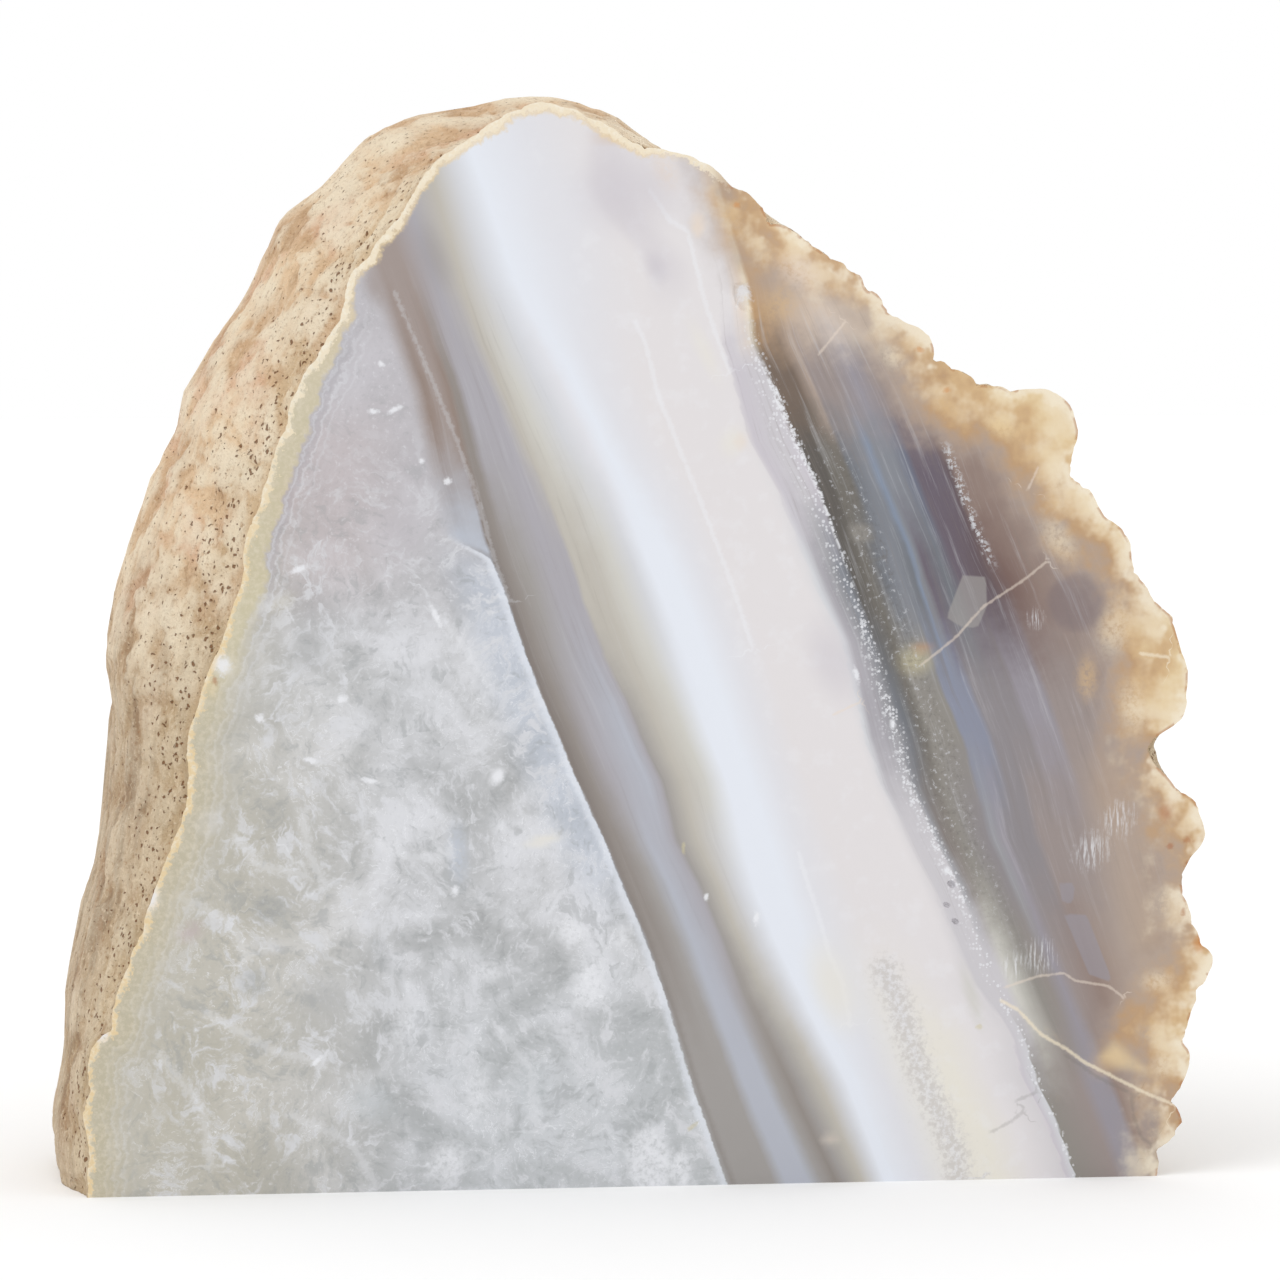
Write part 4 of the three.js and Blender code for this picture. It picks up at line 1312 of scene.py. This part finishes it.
def ground(given, place, up, fine, soft_noise):
    """Quartz on the left and bands on the right, with a hair of light and shadow between."""
    band, soft = given["Band"], soft_noise - 0.5
    swirl = vector_calc("SUBTRACT", soft_noise.other("Color"), (0.5, 0.5, 0.5))
    bent = vector_calc("ADD", place, vector_calc("MULTIPLY", swirl, (2.2, 2.2, 0.0)))
    low_part = fade(up, 63.5, 65.5, 1.0, 0.0)
    edge = band + fine * 0.05 - (1.0 - fade(up, 63.0, 66, 0.0, 0.34))
    quartz = placed(QUARTZ, {"Place": place, "Bent": bent, "Band": band, "Noise": fine})
    bands = placed(BANDS, {"Place": place, "Band": band, "Sway": soft})
    soft_edge = fade(up, 62, 67, 0.006, 0.12)
    marks = Marks(blend(fade(edge, soft_edge * -1.0, soft_edge), quartz, bands), fine)
    marks.lay(between(edge, -0.12, -0.03, -0.012, 0.0) * low_part, "blue white", 0.6)
    marks.lay(between(edge, -0.004, 0.012, 0.03, 0.12) * low_part, "dark taupe", 0.45)
    return marks


# %% Clouds and lines in the white
def lay_whites(marks, given, across, up, soft):
    beside_crust = fade(given["From Crust"], 8, 1) * fade(up, 74, 50)
    marks.lay(beside_crust * fade(across, 0, -10), "quartz beige", 0.6)
    in_white = between(given["Band"], 3.15, 3.4, 3.9, 3.98)
    marks.lay(in_white * fade(soft, 0.0, 0.24), "white", 0.2)
    marks.lay(marks.line("scallops", 0.4, 0.9, 0.7), "white", 0.4)
    marks.lay(marks.line("wisps", 0.35, 0.95, 0.8), "quartz white", 0.25)
    wedge_run = across - fade(up, 91, 101, 2.2, -4.0)
    marks.lay(between(wedge_run, 0, 2.0, 3.0, 6) * fade(up, 87, 93), "lavender", 0.35)


# %% Gold and tan towards the broken edge, with a painted glow and a painted highlight along it
def lay_gold(marks, given, place, across, fine, soft):
    from_break = given["From Break"]
    patches = flat_noise(place, 4.2, 3.0, 0.55) - 0.5
    gold_run = given["Into Gold"] + soft * 2.6
    gold = ramp(gold_run + fine * 0.4 + patches * 9.0, [
        (-4, "rose brown"), (-1, "clay"), (0.8, "tan"), (2.6, "deep gold"), (4.6, "gold"),
        (7, "pale gold"), (10, "pale gold"), (13, "cream"),
    ])
    marks.lay(fade(gold_run, -3.6, 2.2), gold, 0.85)
    at_break = fade(across, 6, 13)
    # painted glow: cream where light shines through the thin broken edge
    glow = fade(from_break + soft * 6.0, 5.0, 0.6) * at_break
    marks.lay(glow * fade(patches, -0.12, 0.12), "cream", 0.55)
    # painted highlight: a crust-toned line right along the broken edge
    painted_rim_highlight = fade(from_break + fine * 0.7 + soft * 2.6, 1.4, 0.2)
    marks.lay(painted_rim_highlight * at_break * fade(patches, -0.08, 0.06), "crust", 0.5)
    thin_stain = fade(from_break, 0.35, 0.1) * fade(soft, 0.0, 0.1)
    marks.lay(thin_stain * at_break, "rust", 0.5)


# %% The rim on the left
def lay_rim(marks, from_crust, across, up, fine, soft, granular):
    """Faint stripes, olive chalcedony and ragged cream crust. Gives the mask of the crust."""
    at_left = fade(across, 9, 2)
    olive_end = fade(up, 46, 68, 1.5, 2.2) - fade(up, 78, 90, 0.0, 1.3)
    past_olive = from_crust + (soft * 1.7 + fine * 0.8) - olive_end
    lilac = between(past_olive, -0.1, 0.2, 0.6, 1.4) * at_left * between(up, 50, 66, 80, 92)
    marks.lay(lilac, "lilac grey", 0.4)
    stripe = fade(calc("PINGPONG", past_olive, 0.42), 0.16, 0.4)
    striped = stripe * between(past_olive, 0.0, 0.5, 1.2, 3.6) * at_left * fade(up, 92, 80)
    marks.lay(striped, "quartz white", 0.4)
    olive = blend(fade(up, 76, 98), "olive gold", "pale gold")
    olive = coated(olive, [(fade(up, 62, 42), "olive beige"), (granular * 0.3, "cream")])
    marks.lay(fade(past_olive, fade(up, 66, 44, 0.3, 3.2), -0.25) * at_left, olive, 0.7)
    crust_run = from_crust + (fine * 1.8 + soft * 1.6)
    crust_mask = fade(crust_run, 0.75, 0.3) * fade(across, 12, 8)
    low_crust = blend(granular, "pale gold", "cream")
    high_crust = blend(granular, "cream", "crust")
    marks.lay(crust_mask, blend(fade(up, 58, 82), low_crust, high_crust), 0.9)
    return crust_mask


# %% Crystal flecks along the seam, in the dark part and in the second row
def lay_sparkle(marks, place, band, up, fine):
    sparkle = placed(FLECKS, {"Place": place, "Size": 0.36, "Cover": 0.6})
    seam = between(band, 4.3, 4.8, 5.02, 5.1) * fade(up, 90, 82)
    lit_start = fade(up, 80, 62, 4.82, 4.93)
    lit_edge = fade(band - lit_start, 0.0, 0.08) * fade(band, 5.03, 4.99) * between(up, 58, 64, 80, 85)
    low_edge = between(band, 4.6, 4.8, 4.95, 5.05) * between(up, 24, 30, 56, 60)
    row = between(band, 6.9, 6.97, 7.0, 7.08) * between(up, 61.5, 64, 73.5, 75.5)
    sandy = between(band, 5.1, 5.25, 5.6, 5.75) * between(up, 14, 40, 70, 80)
    marks.lay(seam * sparkle, "white", 0.55)
    marks.lay(lit_edge * fade(fine, -0.1, 0.06), "white", 0.8)
    marks.lay(low_edge * fade(fine, 0.02, 0.12), "white", 0.7)
    marks.lay(row * fade(fine, -0.02, 0.1), "silver", 0.85)
    marks.lay(sandy * fade(fine, 0.08, 0.2), "silver", 0.5)
    marks.lay(sandy * fade(fine, -0.02, -0.2), "smoke", 0.3)


# %% Brushed patches, windows, breaks and flecks
def lay_damage(marks, place):
    lean = {"Vector": place, "Rotation": (0, 0, math.radians(-40)), "Scale": (3.4, 0.32, 1.0)}
    scratches = fade(flat_noise(worked("ShaderNodeMapping", lean), 1.0, 3.0, 0.7), 0.44, 0.62)
    marks.lay(marks.flecks("brushed", 0.95, 0.8) * scratches, "white", 0.6)
    marks.lay(marks.windows("grey_windows"), "stone grey", 0.6)
    marks.lay(marks.windows("lilac_windows"), "dust lilac", 0.65)
    marks.lay(marks.windows("cream_windows", 1.6), "pale gold", 0.6)
    marks.lay(marks.line("pale_breaks", 0.22, 0.9, 0.3), "peach", 0.45)
    marks.lay(marks.line("dark_breaks", 0.3, 0.9, 0.5), "olive smoke", 0.25)
    marks.lay(marks.line("cream_breaks", 0.3, 0.9, 0.35), "cream", 0.65)
    for name, strength in {"white": 0.8, "amber": 0.5, "olive gold": 0.5, "rust": 0.5}.items():
        marks.lay(marks.flecks(name, 0.8, 1.4), name, strength)


# %% The pattern group
def pattern_group():
    inputs = [
        ("Place", "Vector"), ("Band", "Float"), ("From Crust", "Float"), ("From Break", "Float"),
        ("Into Gold", "Float"),
    ]
    outputs = [("Color", "Color"), ("Roughness", "Float"), ("Height", "Float")]
    tree, given, made = new_tree("agate_pattern", "ShaderNodeTree", inputs, outputs)
    across, deep, height = split(given["Place"])
    up = height - deep
    place = worked("ShaderNodeCombineXYZ", {0: across, 1: up})
    fine = flat_noise(place, 0.62, 4.0, 0.7) - 0.5
    soft_noise = flat_noise(place, 2.6, 3.0, 0.62)
    soft = soft_noise - 0.5
    granular = fade(fine, -0.1, 0.16)

    marks = ground(given, place, up, fine, soft_noise)
    lay_whites(marks, given, across, up, soft)
    lay_gold(marks, given, place, across, fine, soft)
    vein_grain = blend(granular, "vein grey", "cool white")
    marks.lay(marks.line("vein", 2.2, 0.95, 3.4), vein_grain, 0.75)
    marks.layer("ragged_stains", fade(fine, -0.22, 0.1, 0.35, 1.0))
    marks.layer("soft_stains")
    marks.lay(marks.line("crystal_edges", 0.9, 0.98, 2.6), "white", 0.3)
    crust = lay_rim(marks, given["From Crust"], across, up, fine, soft, granular)
    lay_sparkle(marks, place, given["Band"], up, fine)
    lay_damage(marks, place)

    marks.colour.into(made.inputs["Color"])
    roughness = fade(fine, -0.3, 0.3) * 0.08 + (crust * 0.45 + 0.08)
    roughness.into(made.inputs["Roughness"])
    (fine * 0.25).into(made.inputs["Height"])
    return tree


# %% Materials
PATTERN = pattern_group()


def rulers_node(tree):
    """Object coordinates turned into across, deep and up in millimetres."""
    coordinates = Value(tree.nodes.new("ShaderNodeTexCoord").outputs["Object"])
    shift = (-ACROSS_ZERO / MM, -FACE_Y / MM, 0.0)
    inputs = {"Vector": coordinates, "Location": shift, "Scale": (1 / MM,) * 3}
    return worked("ShaderNodeMapping", inputs)


def fresh_material(material):
    material.use_nodes = True
    material.node_tree.nodes.clear()
    tree = material.node_tree
    shader = add(tree, "ShaderNodeBsdfPrincipled")
    add(tree, "ShaderNodeOutputMaterial", {0: Value(shader.outputs[0])})
    return tree, shader


def sawn_material(name, more_roughness, bump):
    """The pattern with a polish. More roughness makes it duller."""
    material = bpy.data.materials.new(name)
    tree, shader = fresh_material(material)
    pattern = placed(PATTERN, {
        "Place": rulers_node(tree), "Band": noted(tree, "band"),
        "From Crust": noted(tree, "from_crust"), "From Break": noted(tree, "from_break"),
        "Into Gold": noted(tree, "into_gold"),
    })
    pattern.into(shader.inputs["Base Color"])
    (pattern.other("Roughness") + more_roughness).into(shader.inputs["Roughness"])
    relief = {"Height": pattern.other("Height"), "Strength": bump, "Distance": 0.1 * MM}
    worked("ShaderNodeBump", relief).into(shader.inputs["Normal"])
    return material


polish_finish = sawn_material("polished_agate", 0.06, 0.2)
base_finish = sawn_material("sawn_base", 0.35, 0.6)

# %% [markdown]
# ## The natural skin
#
# The skin is a sandy crust, tan to pinkish. The relief that was made before is kept at the points as
# lift, in millimetres, so that painted light and shade can follow it: a painted highlight in cream on its
# knobs, stronger higher up, and painted shade in grey-brown in its hollows. Dark pits are strewn over it,
# more thickly next to the polished face: their brown is partly their own and partly painted shade.

# %% The skin's finish


def dress_skin(material):
    tree, shader = fresh_material(material)
    place, lift = noted(tree, "calm", "Vector"), noted(tree, "lift")
    _, deep, up = split(place)

    def pulled(factors):
        return vector_calc("MULTIPLY", place, factors)

    broad = noise(place, 9.0, 3.0, 0.6)
    pink = fade(noise(vector_calc("ADD", place, (40.0, 0.0, 0.0)), 7.0, 2.0), 0.5, 0.66)
    low_down = fade(up, 70, 44)
    long_streaks = noise(pulled((0.5, 0.5, 0.06)), 1.0, 3.0, 0.6)
    ridges = noise(pulled((1.0, 1.0, 0.55)), 6.0, 4.0, 0.6)
    streaks = noise(pulled(STREAK_PULL), 1.0, 4.0, 0.7)
    grain = noise(place, 0.5, 4.0, 0.72)

    # pits with crooked outlines, more of them near the polished face; their dark brown is their own colour
    # with painted shade in them
    wander = noise(place, 1 / 1.4).other("Color")
    pit_cells = cells(vector_calc("MULTIPLY_ADD", wander, (0.8, 0.8, 1.0), place), 0.58)
    crowd = fade(deep, 8, 2, 0.0, 0.32) + -0.4
    chance = split(pit_cells.other("Color"))[0] + crowd
    width = worked("ShaderNodeClamp", {0: chance}) * 0.52
    pits = fade(pit_cells, width - 0.16, width, 1.0, 0.0)

    coated(blend(fade(broad, 0.36, 0.64), "skin tan", "skin light"), [
        (pink * 0.6, "skin pink"),
        (low_down * 0.75, "skin low"),
        (fade(long_streaks, 0.46, 0.62) * low_down * 0.6, "low streak"),
        (fade(ridges, 0.5, 0.66) * 0.45, "skin ridge"),
        (fade(ridges, 0.46, 0.34) * 0.35, "skin hollow"),
        (fade(deep, 5.5, 1.5) * 0.5, "skin at rim"),
        (fade(streaks, 0.54, 0.74) * 0.4, "pale streak"),
        (fade(streaks, 0.46, 0.28) * 0.6, "dark streak"),
        # painted highlight: cream on the raised knobs, stronger higher up
        (fade(lift, 0.1, 0.5) * fade(up, 66, 40, 0.75, 0.3), "knob cream"),
        # painted shade: grey-brown in the hollows of the relief
        (fade(lift, -0.02, -0.5) * 0.6, "deep hollow"),
        (fade(grain, 0.53, 0.68) * 0.45, "pale grain"),
        (fade(grain, 0.46, 0.3) * 0.6, "dark grain"),
        # dark pits: their own brown with painted shade in them
        (pits * 0.8, "pit brown"),
    ]).into(shader.inputs["Base Color"])
    shader.inputs["Roughness"].default_value = 0.72
    shader.inputs["Specular IOR Level"].default_value = 0.25
    height = grain + streaks * 0.6 - pits * 0.5
    relief = {"Height": height, "Strength": 0.9, "Distance": 0.45 * MM}
    worked("ShaderNodeBump", relief).into(shader.inputs["Normal"])


dress_skin(skin_finish)
for finish_material in (polish_finish, skin_finish, base_finish):
    stone_mesh.materials.append(finish_material)
print("finishes:", [m.name for m in stone_mesh.materials])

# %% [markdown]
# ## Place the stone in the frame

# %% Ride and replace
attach(agate_stone, "root")
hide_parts("agate")

# %% [markdown]
# ## Floor, light and camera
#
# The stone stands on white in even, soft light. A white world gives most of the light, and one large
# soft lamp above on the left gives it form. The camera stands half a metre off, a little to the
# left of the face and a little above its middle.

# %% Floor
FLOOR_SIZE = 6.0

floor_mesh = bpy.data.meshes.new("floor")
half = FLOOR_SIZE / 2
floor_corners = [(-half, -half, 0), (half, -half, 0), (half, half, 0), (-half, half, 0)]
floor_mesh.from_pydata(floor_corners, [], [(0, 1, 2, 3)])
floor = as_object("floor", floor_mesh)
floor_finish = bpy.data.materials.new("white_floor")
floor_tree, floor_shader = fresh_material(floor_finish)
floor_shader.inputs["Base Color"].default_value = (0.95, 0.95, 0.95, 1)
floor_shader.inputs["Roughness"].default_value = 0.9
floor_shader.inputs["Specular IOR Level"].default_value = 0.0
floor_mesh.materials.append(floor_finish)

# %% Light
WORLD_LIGHT = 1.0
LAMP_LIGHT = 0.55  # W/m2
LAMP_SPREAD = math.radians(35)  # how soft it is
LAMP_FROM = (-0.55, -0.35, 0.75)  # from the left, in front and above

world = bpy.data.worlds.new("studio")
world.use_nodes = True
sky = world.node_tree.nodes["Background"]
sky.inputs["Color"].default_value = (1, 1, 1, 1)
sky.inputs["Strength"].default_value = WORLD_LIGHT
bpy.context.scene.world = world

lamp_data = bpy.data.lights.new("soft_lamp", "SUN")
lamp_data.energy, lamp_data.angle = LAMP_LIGHT, LAMP_SPREAD
lamp = as_object("soft_lamp", lamp_data)
lamp.rotation_euler = Vector(LAMP_FROM).to_track_quat("Z", "Y").to_euler()
bpy.context.scene.view_settings.view_transform = "Standard"

# %% Camera
TARGET = (2.0, 0.0, 55.2)  # on the rulers, mm
DISTANCE, TURN, RISE = 500.0, -6.5, 4.0  # mm and degrees; a turn below nought is to the left
LENS, SENSOR = 140.625, 36.0  # mm; the frame is square, 1280 by 1280

turn, rise = math.radians(TURN), math.radians(RISE)
level = math.cos(rise)
backward = Vector((math.sin(turn) * level, -math.cos(turn) * level, math.sin(rise)))
camera_data = bpy.data.cameras.new("camera")
camera_data.lens, camera_data.sensor_width = LENS, SENSOR
camera = as_object("camera", camera_data)
target = Vector(off_rulers([TARGET])[0])
camera.location = target + backward * DISTANCE * MM
camera.rotation_euler = (-backward).to_track_quat("-Z", "Y").to_euler()
camera_data.clip_start, camera_data.clip_end = 0.01, 20.0
bpy.context.scene.camera = camera
print("camera at", [round(v, 4) for v in camera.location])
